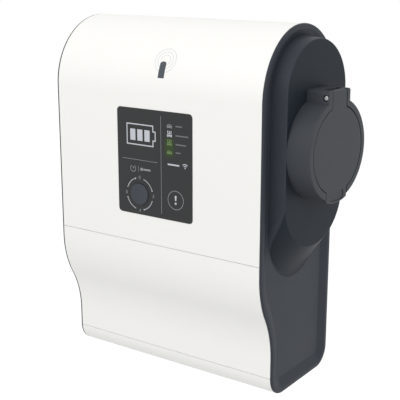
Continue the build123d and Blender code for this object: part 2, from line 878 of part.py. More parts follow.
def hinge_pin():
    """The lid's steel pin, its head sunk in the front ear."""
    head_u = pin_head_sink - lug_half
    shank_u = head_u + pin_head
    tip_u = lug_half - pin_blind - hairline
    head = rod((head_u, pin_height, pin_w), (shank_u, pin_height, pin_w), pin_head_r)
    head = fillet(head.edges().filter_by(GeomType.CIRCLE).group_by(Axis.X)[0], pin_head_round)
    return head + rod((shank_u, pin_height, pin_w), (tip_u, pin_height, pin_w), pin_r)


def lid_spring():
    """The coil about the pin, one leg on the slot's floor and one against the lid's back."""
    length = 2 * (spring_half - spring_end_gap - spring_wire_r)
    path = Helix(length / spring_turns, length, spring_r, direction=(1, 0, 0))
    start = path @ 0
    turn = degrees(atan2(start.Z, start.Y))
    path = Pos(-length / 2, pin_height, pin_w) * Rot(180 - turn, 0, 0) * path
    start = path @ 0
    end = path @ 1
    section = Plane(origin=start, z_dir=path % 0) * Circle(spring_wire_r)
    coil = sweep(section, path=path, is_frenet=True)
    floor_tip = Vector(start.X, start.Y, slot_floor_w + spring_wire_r)
    lid_tip = Vector(end.X, pin_height - spring_leg_reach, lid_back_w - spring_wire_r - hairline)
    legs = []
    for root, tip in ((start, floor_tip), (end, lid_tip)):
        legs.append(rod(root, tip, spring_wire_r))
        legs.append(Pos(*root) * Sphere(spring_wire_r))
    return coil + legs


# Socket insert and its contacts
flange_top_w = barrel_floor + insert_flange
core_top_w = flange_top_w - insert_core_setback
contact_top_w = core_top_w - contact_setback
insert_back_w = -insert_depth - insert_floor
power_points = [(-power_row_pitch, 0), (0, 0), (power_row_pitch, 0),
                (-low_row_pitch / 2, -low_row_drop), (low_row_pitch / 2, -low_row_drop)]
signal_points = [(-signal_pitch / 2, signal_rise), (signal_pitch / 2, signal_rise)]
lock_w0 = -lock_depth - lock_length / 2
lock_w1 = -lock_depth + lock_length / 2


def carrier_form(gap):
    """The flat-topped cylinder of the contact carrier, grown by a gap for the hole that it sits in."""
    core = rod((0, 0, insert_back_w), (0, 0, core_top_w), insert_core_r + gap)
    flat = insert_core_flat + gap
    return core - block(-insert_cup_r, insert_cup_r, flat, insert_cup_r, insert_back_w, core_top_w)


def socket_insert():
    """The dark insert: flange, cup for the plug's shroud, floor, and a pad for the lock drive."""
    body = rod((0, 0, barrel_floor), (0, 0, flange_top_w), barrel_bore_r - insert_gap)
    body += rod((0, 0, insert_back_w), (0, 0, flange_top_w), insert_cup_r)
    body += block(-lock_pad_half, lock_pad_half, insert_core_flat, lock_pad_top, lock_w0, lock_w1)
    body -= rod((0, 0, -insert_depth), (0, 0, flange_top_w), insert_cup_bore_r)
    body -= carrier_form(contact_fit)
    for u, v in insert_screw_points:
        body -= rod((u, v, barrel_floor), (u, v, flange_top_w), screw_r + screw_pass_gap)
    hole_low = (0, insert_core_flat + lock_pin_setback, -lock_depth)
    return body - rod(hole_low, (0, lock_pad_top, -lock_depth), lock_pin_r + lock_pin_fit)


def contact_carrier():
    """The flat-topped core that holds the seven contacts, seated in the insert's floor."""
    core = carrier_form(0)
    for points, radius, bore_r in (
            (power_points, power_contact_r, power_contact_bore_r),
            (signal_points, signal_contact_r, signal_contact_bore_r)):
        for u, v in points:
            core -= rod((u, v, contact_top_w), (u, v, core_top_w), bore_r + insert_hole_gap)
            core -= rod((u, v, insert_back_w), (u, v, contact_top_w), radius + contact_fit)
    return core


def contacts(points, radius, bore_r):
    """Sleeves with solder tails, one at each point."""
    sleeves = []
    for u, v in points:
        sleeve = rod((u, v, insert_back_w), (u, v, contact_top_w - contact_fit), radius)
        sleeve -= rod((u, v, contact_top_w - contact_bore_depth), (u, v, contact_top_w), bore_r)
        tail_end = (u, v, insert_back_w - contact_tail)
        sleeve += rod(tail_end, (u, v, insert_back_w), radius * contact_tail_share)
        sleeves.append(sleeve)
    return sleeves


def lock_drive():
    """The box with the small motor that drives the lock pin, seated on the insert's pad."""
    box = block(-lock_box_half, lock_box_half, lock_pad_top, lock_pad_top + lock_box_height, lock_w0, lock_w1)
    box = fillet(box.edges().filter_by(Axis.Y), pad_round)
    bore_top = lock_pad_top + lock_pin_grip + lock_pin_setback
    return box - rod((0, lock_pad_top, -lock_depth), (0, bore_top, -lock_depth), lock_pin_r + lock_pin_fit)


def lock_pin():
    """The steel pin that slides down through the cup's wall to hold a plug."""
    low = insert_cup_bore_r + lock_pin_setback
    pin = rod((0, low, -lock_depth), (0, lock_pad_top + lock_pin_grip, -lock_depth), lock_pin_r)
    return chamfer(pin.edges().group_by(Axis.Y)[0], lock_pin_setback)


# Display, dial and reader
dial_centre = (display_x + dial_aside, front, display_z - dial_below)
dial_plane = Plane(origin=dial_centre, x_dir=(1, 0, 0), z_dir=(0, -1, 0))
dial_back_w = dial_proud - dial_length
board_w = front - board_front_y
encoder_top_w = board_w + encoder_height
shaft_tip_w = dial_back_w + dial_shaft_grip
display_back_y = front - display_proud + display_thick


def on_dial(shape):
    """Carries a shape from the dial's own frame, w out of the front, to its place."""
    return dial_plane.location * shape


def display_panel():
    """The dark rounded plate in the front, with the dial's hole."""
    face = Plane(origin=(display_x, display_back_y, display_z), x_dir=(1, 0, 0), z_dir=(0, -1, 0))
    plate = extrude(face * RectangleRounded(display_width, display_tall, display_corner),
                    display_thick, dir=(0, -1, 0))
    return plate - on_dial(rod((0, 0, -over), (0, 0, over), dial_r + dial_gap))


def display_board():
    """The circuit board behind the display, on four bosses of the upper cover."""
    board = block(display_x - board_half_x, display_x + board_half_x,
                  board_front_y, board_front_y + board_thick,
                  display_z - board_half_z, display_z + board_half_z)
    for x, z in board_holes:
        board -= rod((x, board_front_y - over, z), (x, board_front_y + over, z), screw_r + screw_pass_gap)
    return board


def light_guides():
    """Clear blocks that carry the board's lights to the display panel's back."""
    places = []
    for index in range(bar_lamp_count):
        x = display_x + bar_lamp_first_aside + index * bar_lamp_pitch
        places.append((x, display_z + bar_lamp_above, bar_lamp_width, bar_lamp_tall))
    for index in range(state_lamp_count):
        z = display_z + state_lamp_first_above + index * state_lamp_pitch
        places.append((display_x + state_lamp_aside, z, state_lamp_width, state_lamp_tall))
    return [block(x - w / 2, x + w / 2, display_back_y, board_front_y, z - t / 2, z + t / 2)
            for x, z, w, t in places]


def dial_encoder():
    """The turn-and-press switch on the display board."""
    half = encoder_side / 2
    neck_top = dial_back_w - dial_press - encoder_neck_gap
    body = block(-half, half, -half, half, board_w, encoder_top_w)
    body += rod((0, 0, encoder_top_w), (0, 0, neck_top), encoder_neck_r)
    return body - rod((0, 0, board_w), (0, 0, neck_top), dial_shaft_r + dial_shaft_fit)


def dial_shaft():
    """The round shaft that carries the dial and slides in the switch."""
    low = board_w + dial_press + dial_shaft_end_gap
    return rod((0, 0, low), (0, 0, shaft_tip_w), dial_shaft_r)


def timer_dial():
    """The low round dial: rounded edge, shallow dish in its face, flange behind the display panel."""
    body = rod((0, 0, dial_back_w), (0, 0, dial_proud), dial_r)
    body = fillet(body.edges().group_by(Axis.Z)[-1], dial_round)
    dish_r = (dial_dish_r ** 2 + dial_dish_depth ** 2) / (2 * dial_dish_depth)
    body -= Pos(0, 0, dial_proud - dial_dish_depth + dish_r) * Sphere(dish_r)
    flange_top = -(display_thick - display_proud) - dial_flange_gap
    body += rod((0, 0, flange_top - dial_flange), (0, 0, flange_top), dial_flange_r)
    bore_top = shaft_tip_w + dial_shaft_end_gap
    return body - rod((0, 0, dial_back_w), (0, 0, bore_top), dial_shaft_r + dial_shaft_fit)


def reader_board():
    """The card reader's board, parallel to the rounded top."""
    half_tall = reader_tall / 2
    board = block(-reader_width / 2, reader_width / 2, -half_tall, half_tall, -board_thick, 0)
    for x in (-reader_hole_x, reader_hole_x):
        board -= rod((x, 0, -over), (x, 0, over), screw_r + screw_pass_gap)
    return reader_plane.location * board


# Rail and what hangs on it
def mounting_rail():
    """The top-hat rail across the back wall."""
    channel = rail_channel / 2
    half = rail_tall / 2
    web = block(-rail_half, rail_half, rail_y - rail_wall, rail_y, rail_z - channel, rail_z + channel)
    for side in (-1, 1):
        leg = sorted((rail_z + side * channel, rail_z + side * (channel - rail_wall)))
        lip = sorted((rail_z + side * (channel - rail_wall), rail_z + side * half))
        web += block(-rail_half, rail_half, rail_front_y, rail_y, *leg)
        web += block(-rail_half, rail_half, rail_front_y, rail_front_y + rail_wall, *lip)
    for x in rail_screw_xs:
        web -= rod((x, -over, rail_z), (x, 0, rail_z), screw_r + screw_pass_gap)
    return web


def rail_module(first_x, units, windows=0):
    """A stepped modular device hooked on the rail, with wire terminals on both shoulders."""
    x0 = first_x
    x1 = first_x + units * module_width
    back_y = rail_front_y - hairline
    shoulder_y = back_y - module_depth
    nose_y = shoulder_y - module_nose
    half = module_tall / 2
    half_nose = module_nose_tall / 2
    half_rail = rail_tall / 2 + hairline
    body = block(x0, x1, shoulder_y, back_y, rail_z - half, rail_z + half)
    body += block(x0, x1, nose_y, shoulder_y, rail_z - half_nose, rail_z + half_nose)
    body = fillet(body.edges().filter_by(Axis.X).group_by(Axis.Y)[0], module_round)
    claw_y = rail_front_y + rail_wall + hairline
    for side in (-1, 1):
        foot = sorted((rail_z + side * half_rail, rail_z + side * (half_rail + module_hook)))
        claw = sorted((rail_z + side * (half_rail - 2 * rail_wall), foot[(side + 1) // 2]))
        body += block(x0, x1, back_y, claw_y, *foot)
        body += block(x0, x1, claw_y, claw_y + 2 * rail_wall, *claw)
        terminal_level = rail_z + side * (half + half_nose) / 2
        for unit in range(units):
            x = x0 + (unit + 1 / 2) * module_width
            body -= rod((x, shoulder_y, terminal_level),
                        (x, shoulder_y + module_terminal_depth, terminal_level), module_terminal_r)
    for index in range(windows):
        z = rail_z + (index - (windows - 1) / 2) * module_slot_pitch
        body -= block(x0 + module_gap, x1 - module_gap, nose_y, nose_y + module_slot_depth,
                      z - module_slot_tall / 2, z + module_slot_tall / 2)
    return body


module_count = contactor_unit_count + supply_unit_count + meter_unit_count
module_first_x = -(module_count * module_width + 2 * module_gap) / 2
supply_first_x = module_first_x + contactor_unit_count * module_width + module_gap
meter_first_x = supply_first_x + supply_unit_count * module_width + module_gap


# Control board and what is soldered to it
def on_control_board(width, tall, depth, centre_x, centre_z):
    """A box on the front of the control board, centred on a point of it."""
    face_y = control_y - board_thick
    return block(centre_x - width / 2, centre_x + width / 2, face_y - depth, face_y,
                 centre_z - tall / 2, centre_z + tall / 2)


def control_board():
    """The control board with its flat chips and the plug row along its lower edge."""
    half_x = control_width / 2
    half_z = control_tall / 2
    face_y = control_y - board_thick
    board = block(control_x - half_x, control_x + half_x, face_y, control_y,
                  control_z - half_z, control_z + half_z)
    board += on_control_board(plug_width, plug_tall, plug_depth,
                              control_x, control_z + plug_row_share * control_tall)
    for side in (-1, 1):
        board += on_control_board(chip_side, chip_side, chip_depth,
                                  control_x + side * chip_column_share * control_width,
                                  control_z + chip_row_share * control_tall)
    for x, z in control_holes:
        board -= rod((x, control_y - over, z), (x, 0, z), screw_r + screw_pass_gap)
    return board


def board_relays():
    """The row of relays that switch the phases."""
    first_x = control_x + relay_first_share * control_width + relay_width / 2
    level = control_z + relay_row_share * control_tall
    relays = [on_control_board(relay_width, relay_tall, relay_depth, first_x + index * relay_pitch, level)
              for index in range(relay_count)]
    return [fillet(relay.edges().filter_by(Axis.Y), module_round) for relay in relays]


def board_capacitors():
    """The round capacitors, standing off the board."""
    face_y = control_y - board_thick
    level = control_z + capacitor_row_share * control_tall
    cans = []
    for index in range(capacitor_count):
        x = control_x + capacitor_first_share * control_width + index * capacitor_pitch
        cans.append(rod((x, face_y, level), (x, face_y - capacitor_length, level), capacitor_r))
    return cans


# Terminals, earth bar and gland
def terminal_block():
    """The supply terminals: a stepped block with a wire entry and a screw well for each wire."""
    x0 = terminal_x - terminal_half
    x1 = terminal_x + terminal_half
    half = terminal_tall / 2
    body = block(x0, x1, terminal_y - terminal_depth, terminal_y, terminal_z - half, terminal_z + half)
    body -= block(x0, x1, terminal_y - terminal_depth, terminal_y - terminal_depth + terminal_step,
                  terminal_z - half, terminal_z - half + terminal_step)
    body += block(x0 - terminal_end, x1 + terminal_end, terminal_y - terminal_step / 2, terminal_y,
                  terminal_z - half / 2, terminal_z + half / 2)
    entry_y = terminal_y - terminal_entry_back
    for index in range(terminal_count):
        x = x0 + (index + 1 / 2) * terminal_pitch
        low_entry = (x, entry_y, terminal_z - half)
        body -= rod(low_entry, (x, entry_y, terminal_z - half + terminal_entry_depth), terminal_entry_r)
        screw_top = terminal_y - terminal_depth
        body -= rod((x, screw_top, terminal_z), (x, screw_top + terminal_screw_depth, terminal_z),
                    terminal_screw_r + screw_pass_gap)
    for x in terminal_screw_xs:
        body -= rod((x, terminal_y - over, terminal_z), (x, 0, terminal_z), screw_r + screw_pass_gap)
    return body


def terminal_clamps():
    """The clamp screws, sunk in the terminal block's wells."""
    x0 = terminal_x - terminal_half
    floor_y = terminal_y - terminal_depth + terminal_screw_depth
    clamps = []
    for index in range(terminal_count):
        x = x0 + (index + 1 / 2) * terminal_pitch
        clamps.append(rod((x, floor_y, terminal_z), (x, floor_y - screw_head, terminal_z), terminal_screw_r))
    return clamps


def earth_bar():
    """The brass bar for the earth wires."""
    half = earth_length / 2
    bar = block(earth_x - half, earth_x + half, earth_y - earth_depth, earth_y,
                earth_z - earth_tall / 2, earth_z + earth_tall / 2)
    for x in earth_screw_xs:
        bar -= rod((x, -over, earth_z), (x, 0, earth_z), screw_r + screw_pass_gap)
    for x in earth_clamp_xs():
        bar -= rod((x, earth_y - earth_depth, earth_z), (x, earth_y, earth_z), earth_clamp_r + screw_fit)
    return bar


def earth_clamp_xs():
    """Places of the earth bar's own clamp screws along its length."""
    return [earth_x + (index - (earth_clamp_count - 1) / 2) * earth_clamp_pitch
            for index in range(earth_clamp_count)]


def earth_clamps():
    """The clamp screws of the earth bar."""
    seat_y = earth_y - earth_depth
    clamps = []
    for x in earth_clamp_xs():
        shank = rod((x, seat_y, earth_z), (x, earth_y, earth_z), earth_clamp_r)
        head = rod((x, seat_y - earth_clamp_head, earth_z), (x, seat_y, earth_z), earth_tall / 2 - hairline)
        clamps.append(shank + head)
    return clamps


def hexagon(radius, z0, z1):
    """A six-sided bar about the gland's axis."""
    face = Plane.XY.offset(z0) * RegularPolygon(radius, 6)
    return extrude(face, z1 - z0, dir=(0, 0, 1))


def at_gland(shape):
    """Carries a shape from the gland's own axis to its place."""
    return Pos(gland_x, gland_y, 0) * shape


def gland_body():
    """The gland's threaded body: hexagon under the floor, thread through it, collar for the dome nut."""
    flange_low = bottom - gland_flange
    body = hexagon(gland_flange_r, flange_low, bottom)
    body += rod((0, 0, bottom), (0, 0, floor_z + gland_thread_inside), gland_thread_r)
    body += rod((0, 0, flange_low - gland_collar), (0, 0, flange_low), gland_collar_r)
    body -= rod((0, 0, flange_low - gland_collar), (0, 0, flange_low), gland_bore_r + gland_seal_wall)
    return body - rod((0, 0, bottom - over), (0, 0, floor_z + over), gland_bore_r)


def gland_seal():
    """The soft ring inside the collar that grips the supply cable."""
    top_z = bottom - gland_flange
    low_z = top_z - gland_collar
    outer_r = gland_bore_r + gland_seal_wall - hairline
    return rod((0, 0, low_z), (0, 0, top_z), outer_r) - rod((0, 0, low_z), (0, 0, top_z), gland_bore_r)


def gland_nut():
    """The dome nut screwed over the collar."""
    top_z = bottom - gland_flange - gland_fit
    low_z = top_z - gland_nut_length
    body = hexagon(gland_nut_r, low_z, top_z)
    body -= rod((0, 0, low_z + gland_nut_wall), (0, 0, top_z), gland_collar_r + gland_fit)
    return body - rod((0, 0, low_z), (0, 0, top_z), gland_bore_r)


def gland_locknut():
    """The nut that holds the gland from inside the floor."""
    body = hexagon(gland_locknut_r, floor_z, floor_z + gland_locknut_length)
    return body - rod((0, 0, floor_z), (0, 0, floor_z + gland_locknut_length), gland_thread_r + gland_fit / 2)


# Screws, each group in one node
def panel_screws():
    """The screws through the back housing's ears into both side panels."""
    screws = []
    for z in ear_levels:
        right = screw((ear_inner_x, ear_screw_y, z), (1, 0, 0))
        screws += [right, mirror(right, about=Plane.YZ)]
    return screws


def upper_cover_screws():
    """The screws through the upper cover's tabs, hidden by the lower cover."""
    right = screw((cover_tab_x, cover_tab_y, cover_screw_z), (0, 1, 0))
    return [right, mirror(right, about=Plane.YZ)]


def lower_cover_screws():
    """The screws through the floor into the lower cover's feet."""
    return [screw((x, foot_y, bottom), (0, 0, 1)) for x in (-foot_x, foot_x)]


def display_board_screws():
    """The screws of the display board."""
    return [screw((x, board_front_y + board_thick, z), (0, -1, 0)) for x, z in board_holes]


def reader_screws():
    """The screws of the reader board."""
    return [reader_plane.location * screw((x, 0, -board_thick), (0, 0, 1))
            for x in (-reader_hole_x, reader_hole_x)]


def barrel_screws():
    """The screws from inside the pad into the socket housing."""
    return [on_socket(screw((u, v, -pad_wall), (0, 0, 1))) for u, v in barrel_screw_points]


def insert_screws():
    """The screws through the insert's flange."""
    length = insert_flange + barrel_floor - hairline
    return [on_socket(screw((u, v, flange_top_w), (0, 0, -1), length)) for u, v in insert_screw_points]


def post_screws(plane_y):
    """The screws that hold the piece whose front face is at plane_y."""
    return [screw(seat, way, length) for seat, way, length in back_screws() if seat[1] == plane_y]


pieces = {
    "back_housing": back_housing(),
    "upper_cover": upper_cover(),
    "lower_cover": lower_cover(),
    "right_side_panel": right_side_panel(),
    "left_side_panel": mirror(drilled(side_panel()), about=Plane.YZ),
    "right_panel_seal": panel_seal(),
    "left_panel_seal": mirror(panel_seal(), about=Plane.YZ),
    "panel_screws": panel_screws(),
    "upper_cover_screws": upper_cover_screws(),
    "lower_cover_screws": lower_cover_screws(),
    "socket_housing": on_socket(socket_housing()),
    "socket_housing_gasket": on_socket(housing_gasket()),
    "socket_housing_screws": barrel_screws(),
    "socket_lid": on_socket(socket_lid()),
    "lid_gasket": on_socket(lid_gasket()),
    "hinge_pin": on_socket(hinge_pin()),
    "lid_spring": on_socket(lid_spring()),
    "socket_insert": on_socket(socket_insert()),
    "socket_insert_screws": insert_screws(),
    "contact_carrier": on_socket(contact_carrier()),
    "power_contacts": [on_socket(sleeve) for sleeve in
                       contacts(power_points, power_contact_r, power_contact_bore_r)],
    "signal_contacts": [on_socket(sleeve) for sleeve in
                        contacts(signal_points, signal_contact_r, signal_contact_bore_r)],
    "plug_lock_drive": on_socket(lock_drive()),
    "plug_lock_pin": on_socket(lock_pin()),
    "display_panel": display_panel(),
    "display_board": display_board(),
    "display_board_screws": display_board_screws(),
    "light_guides": light_guides(),
    "dial_encoder": on_dial(dial_encoder()),
    "dial_shaft": on_dial(dial_shaft()),
    "timer_dial": on_dial(timer_dial()),
    "reader_board": reader_board(),
    "reader_board_screws": reader_screws(),
    "mounting_rail": mounting_rail(),
    "rail_screws": post_screws(rail_y - rail_wall),
    "contactor": rail_module(module_first_x, contactor_unit_count, contactor_slot_count),
    "power_supply": rail_module(supply_first_x, supply_unit_count, supply_slot_count),
    "energy_meter": rail_module(meter_first_x, meter_unit_count, meter_slot_count),
    "control_board": control_board(),
    "control_board_screws": post_screws(control_y - board_thick),
    "board_relays": board_relays(),
    "board_capacitors": board_capacitors(),
    "terminal_block": terminal_block(),
    "terminal_clamp_screws": terminal_clamps(),
    "terminal_block_screws": post_screws(terminal_y - terminal_step / 2),
    "earth_bar": earth_bar(),
    "earth_clamp_screws": earth_clamps(),
    "earth_bar_screws": post_screws(earth_y - earth_depth),
    "gland_body": at_gland(gland_body()),
    "gland_seal": at_gland(gland_seal()),
    "gland_nut": at_gland(gland_nut()),
    "gland_locknut": at_gland(gland_locknut()),
}

os.makedirs("parts", exist_ok=True)
for name, piece in pieces.items():
    shape = Part() + piece if isinstance(piece, list) else piece
    export_step(shape, f"parts/{name}.step")
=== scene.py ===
# %% [markdown]
# # A wallbox for electric cars
#
# The object hangs on a wall: a white moulded cover that runs up the front and over a rounded top, two
# dark side panels, a display with a timer dial, and a car socket under a sprung lid on the right. The
# solid model already has every shell, lid and screw at its real size. What is left for this file is what
# the eye reads as finish: moulded plastic, printed marks, screw heads, light and the camera.

import math

import bmesh
import bpy
import numpy
from mathutils import Matrix, Vector


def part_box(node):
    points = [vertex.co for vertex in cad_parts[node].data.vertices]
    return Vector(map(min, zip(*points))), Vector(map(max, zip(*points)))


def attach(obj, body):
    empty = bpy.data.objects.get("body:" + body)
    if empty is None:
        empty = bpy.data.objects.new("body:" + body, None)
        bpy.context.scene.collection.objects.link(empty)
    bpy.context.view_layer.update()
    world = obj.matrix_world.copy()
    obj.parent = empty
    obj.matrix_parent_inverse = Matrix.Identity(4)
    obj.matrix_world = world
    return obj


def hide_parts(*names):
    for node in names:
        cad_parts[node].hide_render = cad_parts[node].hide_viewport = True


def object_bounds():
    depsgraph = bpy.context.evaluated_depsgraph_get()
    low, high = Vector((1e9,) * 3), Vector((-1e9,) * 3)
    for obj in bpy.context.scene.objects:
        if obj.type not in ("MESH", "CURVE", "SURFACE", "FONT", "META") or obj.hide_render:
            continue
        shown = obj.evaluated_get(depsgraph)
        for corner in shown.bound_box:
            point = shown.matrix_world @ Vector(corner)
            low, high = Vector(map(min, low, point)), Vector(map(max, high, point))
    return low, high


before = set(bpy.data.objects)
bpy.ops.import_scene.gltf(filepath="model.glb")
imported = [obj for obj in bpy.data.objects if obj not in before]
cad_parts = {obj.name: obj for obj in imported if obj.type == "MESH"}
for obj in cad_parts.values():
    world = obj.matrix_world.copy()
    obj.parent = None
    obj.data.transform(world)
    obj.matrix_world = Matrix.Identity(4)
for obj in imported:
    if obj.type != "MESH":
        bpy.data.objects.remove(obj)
cad_low, cad_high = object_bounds()
MM = 0.001
print("solid model, metres:", [round(high - low, 3) for low, high in zip(cad_low, cad_high)])

# %% [markdown]
# ## The camera
#
# The photograph was taken from the front right and a little above, with a fairly long lens. Edges that
# are parallel on the object run together slightly in the picture, which gives the distance and the lens.
# The camera below stands where those edges say, so the solid model falls on the picture without fitting.

# %% Camera
PICTURE = 400
FOCAL_PIXELS = 925.4
SENSOR = 36.0
AZIMUTH = math.radians(35.2)
ELEVATION = math.radians(14.74)
DISTANCE = 1.2151
AIM = Vector((-0.00006, -0.072, -0.01055))
NEAREST, FURTHEST = 0.05, 30


def new_object(name, data):
    """A new object in the scene."""
    made = bpy.data.objects.new(name, data)
    bpy.context.scene.collection.objects.link(made)
    return made


def toward_camera(azimuth, elevation):
    """The direction from the object to a camera at these angles."""
    flat = math.cos(elevation)
    return Vector((math.sin(azimuth) * flat, -math.cos(azimuth) * flat, math.sin(elevation)))


camera = new_object("camera", bpy.data.cameras.new("camera"))
camera.data.sensor_width = SENSOR
camera.data.lens = SENSOR * FOCAL_PIXELS / PICTURE
camera.data.clip_start, camera.data.clip_end = NEAREST, FURTHEST
back = toward_camera(AZIMUTH, ELEVATION)
camera.location = AIM + back * DISTANCE
camera.rotation_mode = "QUATERNION"
camera.rotation_quaternion = (-back).to_track_quat("-Z", "Y")
bpy.context.scene.camera = camera
print("lens, mm:", round(camera.data.lens, 1))

# %% [markdown]
# ## Helpers for node trees
#
# World, floor and finishes are all node trees. These helpers add a node beside the last one, and feed its
# inputs by name, each with a value or with another node's output, so that the trees read as plain steps.

# %% Helpers for node trees
NODE_STEP = 200


def node(tree, kind, **settings):
    """Adds a node to a tree, to the right of those it has, and sets its own properties."""
    made = tree.nodes.new(kind)
    made.location.x = NODE_STEP * len(tree.nodes)
    for name, value in settings.items():
        setattr(made, name, value)
    return made


def feed(entry, value):
    """Links an output to an input, or sets the input to a plain value."""
    if isinstance(value, bpy.types.NodeSocket):
        entry.id_data.links.new(value, entry)
    else:
        entry.default_value = value


def set_inputs(made, **values):
    """Feeds a node's inputs by name, with _ for a space."""
    for label, value in values.items():
        feed(made.inputs[label.replace("_", " ")], value)


def calculate(tree, operation, *values):
    """The result of a sum with outputs and plain numbers."""
    made = node(tree, "ShaderNodeMath", operation=operation)
    for entry, value in zip(made.inputs, values):
        feed(entry, value)
    return made.outputs[0]


def new_material(name):
    """An empty material, with its tree and its shader."""
    material = bpy.data.materials.new(name)
    material.use_nodes = True
    return material, material.node_tree, material.node_tree.nodes["Principled BSDF"]


print("node step:", NODE_STEP)

# %% [markdown]
# ## World and floor
#
# The picture is a product shot on pure white. A pale world lights the object evenly. The white behind it
# comes from what the world and the floor show to the camera, to mirrors and to glass, and never from more
# light on the object.

# %% World and floor
WORLD_LEVEL = 0.825
FLOOR_DROP, FLOOR_REACH = 1.0, 8
FLOOR_TONE, FLOOR_GLOW, FLOOR_ROUGHNESS = 0.72, 0.43, 0.9


def where_seen(tree, seen_level, lighting_level):
    """One strength for what the camera, mirrors and glass see, and another for what lights the object."""
    path = node(tree, "ShaderNodeLightPath").outputs
    seen = path["Is Camera Ray"]
    for ray in ("Is Glossy Ray", "Is Transmission Ray"):
        seen = calculate(tree, "MAXIMUM", seen, path[ray])
    strength = node(tree, "ShaderNodeMapRange")
    set_inputs(strength, Value=seen, To_Min=lighting_level, To_Max=seen_level)
    return strength.outputs["Result"]


def make_world():
    """A world that looks pure white and lights the object a little less."""
    world = bpy.data.worlds.new("studio")
    world.use_nodes = True
    tree = world.node_tree
    set_inputs(tree.nodes["Background"], Color=(1, 1, 1, 1), Strength=where_seen(tree, 1.0, WORLD_LEVEL))
    return world


def make_floor():
    """A plain pale floor, far enough below the wall-hung object that its shadow is soft.

    What lights it takes it most of the way to white, and a glow that lights nothing takes it the rest.
    """
    mesh = bpy.data.meshes.new("floor")
    corners = [(side_x * FLOOR_REACH, side_y * FLOOR_REACH, cad_low.z - FLOOR_DROP)
               for side_x, side_y in ((-1, -1), (1, -1), (1, 1), (-1, 1))]
    mesh.from_pydata(corners, [], [(0, 1, 2, 3)])
    floor = new_object("floor", mesh)
    material, tree, shader = new_material("floor")
    set_inputs(shader, Base_Color=(FLOOR_TONE, FLOOR_TONE, FLOOR_TONE, 1), Roughness=FLOOR_ROUGHNESS)
    glow = node(tree, "ShaderNodeEmission")
    set_inputs(glow, Strength=where_seen(tree, FLOOR_GLOW, 0.0))
    both = node(tree, "ShaderNodeAddShader")
    for entry, source in zip(both.inputs, (shader, glow)):
        feed(entry, source.outputs[0])
    set_inputs(tree.nodes["Material Output"], Surface=both.outputs[0])
    mesh.materials.append(material)


scene = bpy.context.scene
scene.view_settings.view_transform = "Standard"
scene.world = make_world()
make_floor()
print("world level:", WORLD_LEVEL, "- floor tone:", FLOOR_TONE)

# %% [markdown]
# ## Lamps
#
# One large lamp above and in front makes the rounded top the brightest, with the front a shade less and
# the lower step that turns away from it soft grey. A weak one from the right shapes the dark side.

# %% Lamps
# Where each lamp stands and what it faces, its size in metres and its power in watts
LAMPS = {"lamp_above": ((-0.3, -1.65, 1.22), (0, -0.05, 0.1), 1.6, 10.4),
         "lamp_right": ((1.8, -0.9, 0.7), (0.15, -0.08, 0), 1.2, 6.5)}


def make_lamp(name, place, aim, size, power):
    """A square soft lamp that faces its aim."""
    lamp = new_object(name, bpy.data.lights.new(name, "AREA"))
    lamp.data.size = size
    lamp.data.energy = power
    lamp.location = place
    lamp.rotation_mode = "QUATERNION"
    lamp.rotation_quaternion = (Vector(aim) - Vector(place)).to_track_quat("-Z", "Y")


for name, setting in LAMPS.items():
    make_lamp(name, *setting)
print("lamps:", list(LAMPS))

# %% [markdown]
# ## Shared effects
#
# Nearly every finish here is moulded plastic, and what tells one from another is small: how fine the
# grain of the mould is, how much the gloss wanders, and how the colour drifts over a hand's width. These
# are shader groups, built once and placed in each material with its own numbers.

# %% Shader groups for moulded plastic
GRAIN_DETAIL, DRIFT_DETAIL, GLOSS_PATCHES = 2, 3, 30


def new_group(name, inputs, outputs, kind="ShaderNodeTree"):
    """An empty node group with named sockets, what it is given, and the node that takes what it makes."""
    tree = bpy.data.node_groups.new(name, kind)
    for label, socket, default in inputs:
        made = tree.interface.new_socket(label, in_out="INPUT", socket_type="NodeSocket" + socket)
        if default is not None:
            made.default_value = default
    for label, socket in outputs:
        tree.interface.new_socket(label, in_out="OUTPUT", socket_type="NodeSocket" + socket)
    return tree, node(tree, "NodeGroupInput").outputs, node(tree, "NodeGroupOutput")


def texture(tree, kind="ShaderNodeTexNoise", **values):
    """A texture, or another node with a vector, laid on the object's own places."""
    made = node(tree, kind)
    set_inputs(made, Vector=node(tree, "ShaderNodeTexCoord").outputs["Object"], **values)
    return made


def make_mould_grain():
    """Height and gloss of a fine moulded grain: small pits at one scale, a slow drift at another."""
    tree, given, made = new_group(
        "mould_grain",
        [("Grain per Metre", "Float", 2500.0), ("Gloss", "Float", 0.4), ("Gloss Drift", "Float", 0.05)],
        [("Height", "Float"), ("Roughness", "Float")])
    fine = texture(tree, Detail=GRAIN_DETAIL, Scale=given["Grain per Metre"])
    slow = texture(tree, Detail=DRIFT_DETAIL, Scale=GLOSS_PATCHES)
    drift = calculate(tree, "SUBTRACT", slow.outputs["Fac"], 0.5)
    set_inputs(made, Height=fine.outputs["Fac"],
               Roughness=calculate(tree, "MULTIPLY_ADD", drift, given["Gloss Drift"], given["Gloss"]))
    return tree


def make_tone_drift():
    """A colour that wanders a little between two tones, as pigment does in a large moulding."""
    tree, given, made = new_group(
        "tone_drift",
        [("Tone", "Color", (0.5, 0.5, 0.5, 1)), ("Other Tone", "Color", (0.4, 0.4, 0.4, 1)),
         ("Patches per Metre", "Float", 12.0)],
        [("Color", "Color")])
    noise = texture(tree, Detail=DRIFT_DETAIL, Scale=given["Patches per Metre"])
    mix = node(tree, "ShaderNodeMix", data_type="RGBA")
    set_inputs(mix, Factor=noise.outputs["Fac"], A=given["Tone"], B=given["Other Tone"])
    set_inputs(made, Color=mix.outputs["Result"])
    return tree


mould_grain = make_mould_grain()
tone_drift = make_tone_drift()
print("shader groups:", mould_grain.name, tone_drift.name)

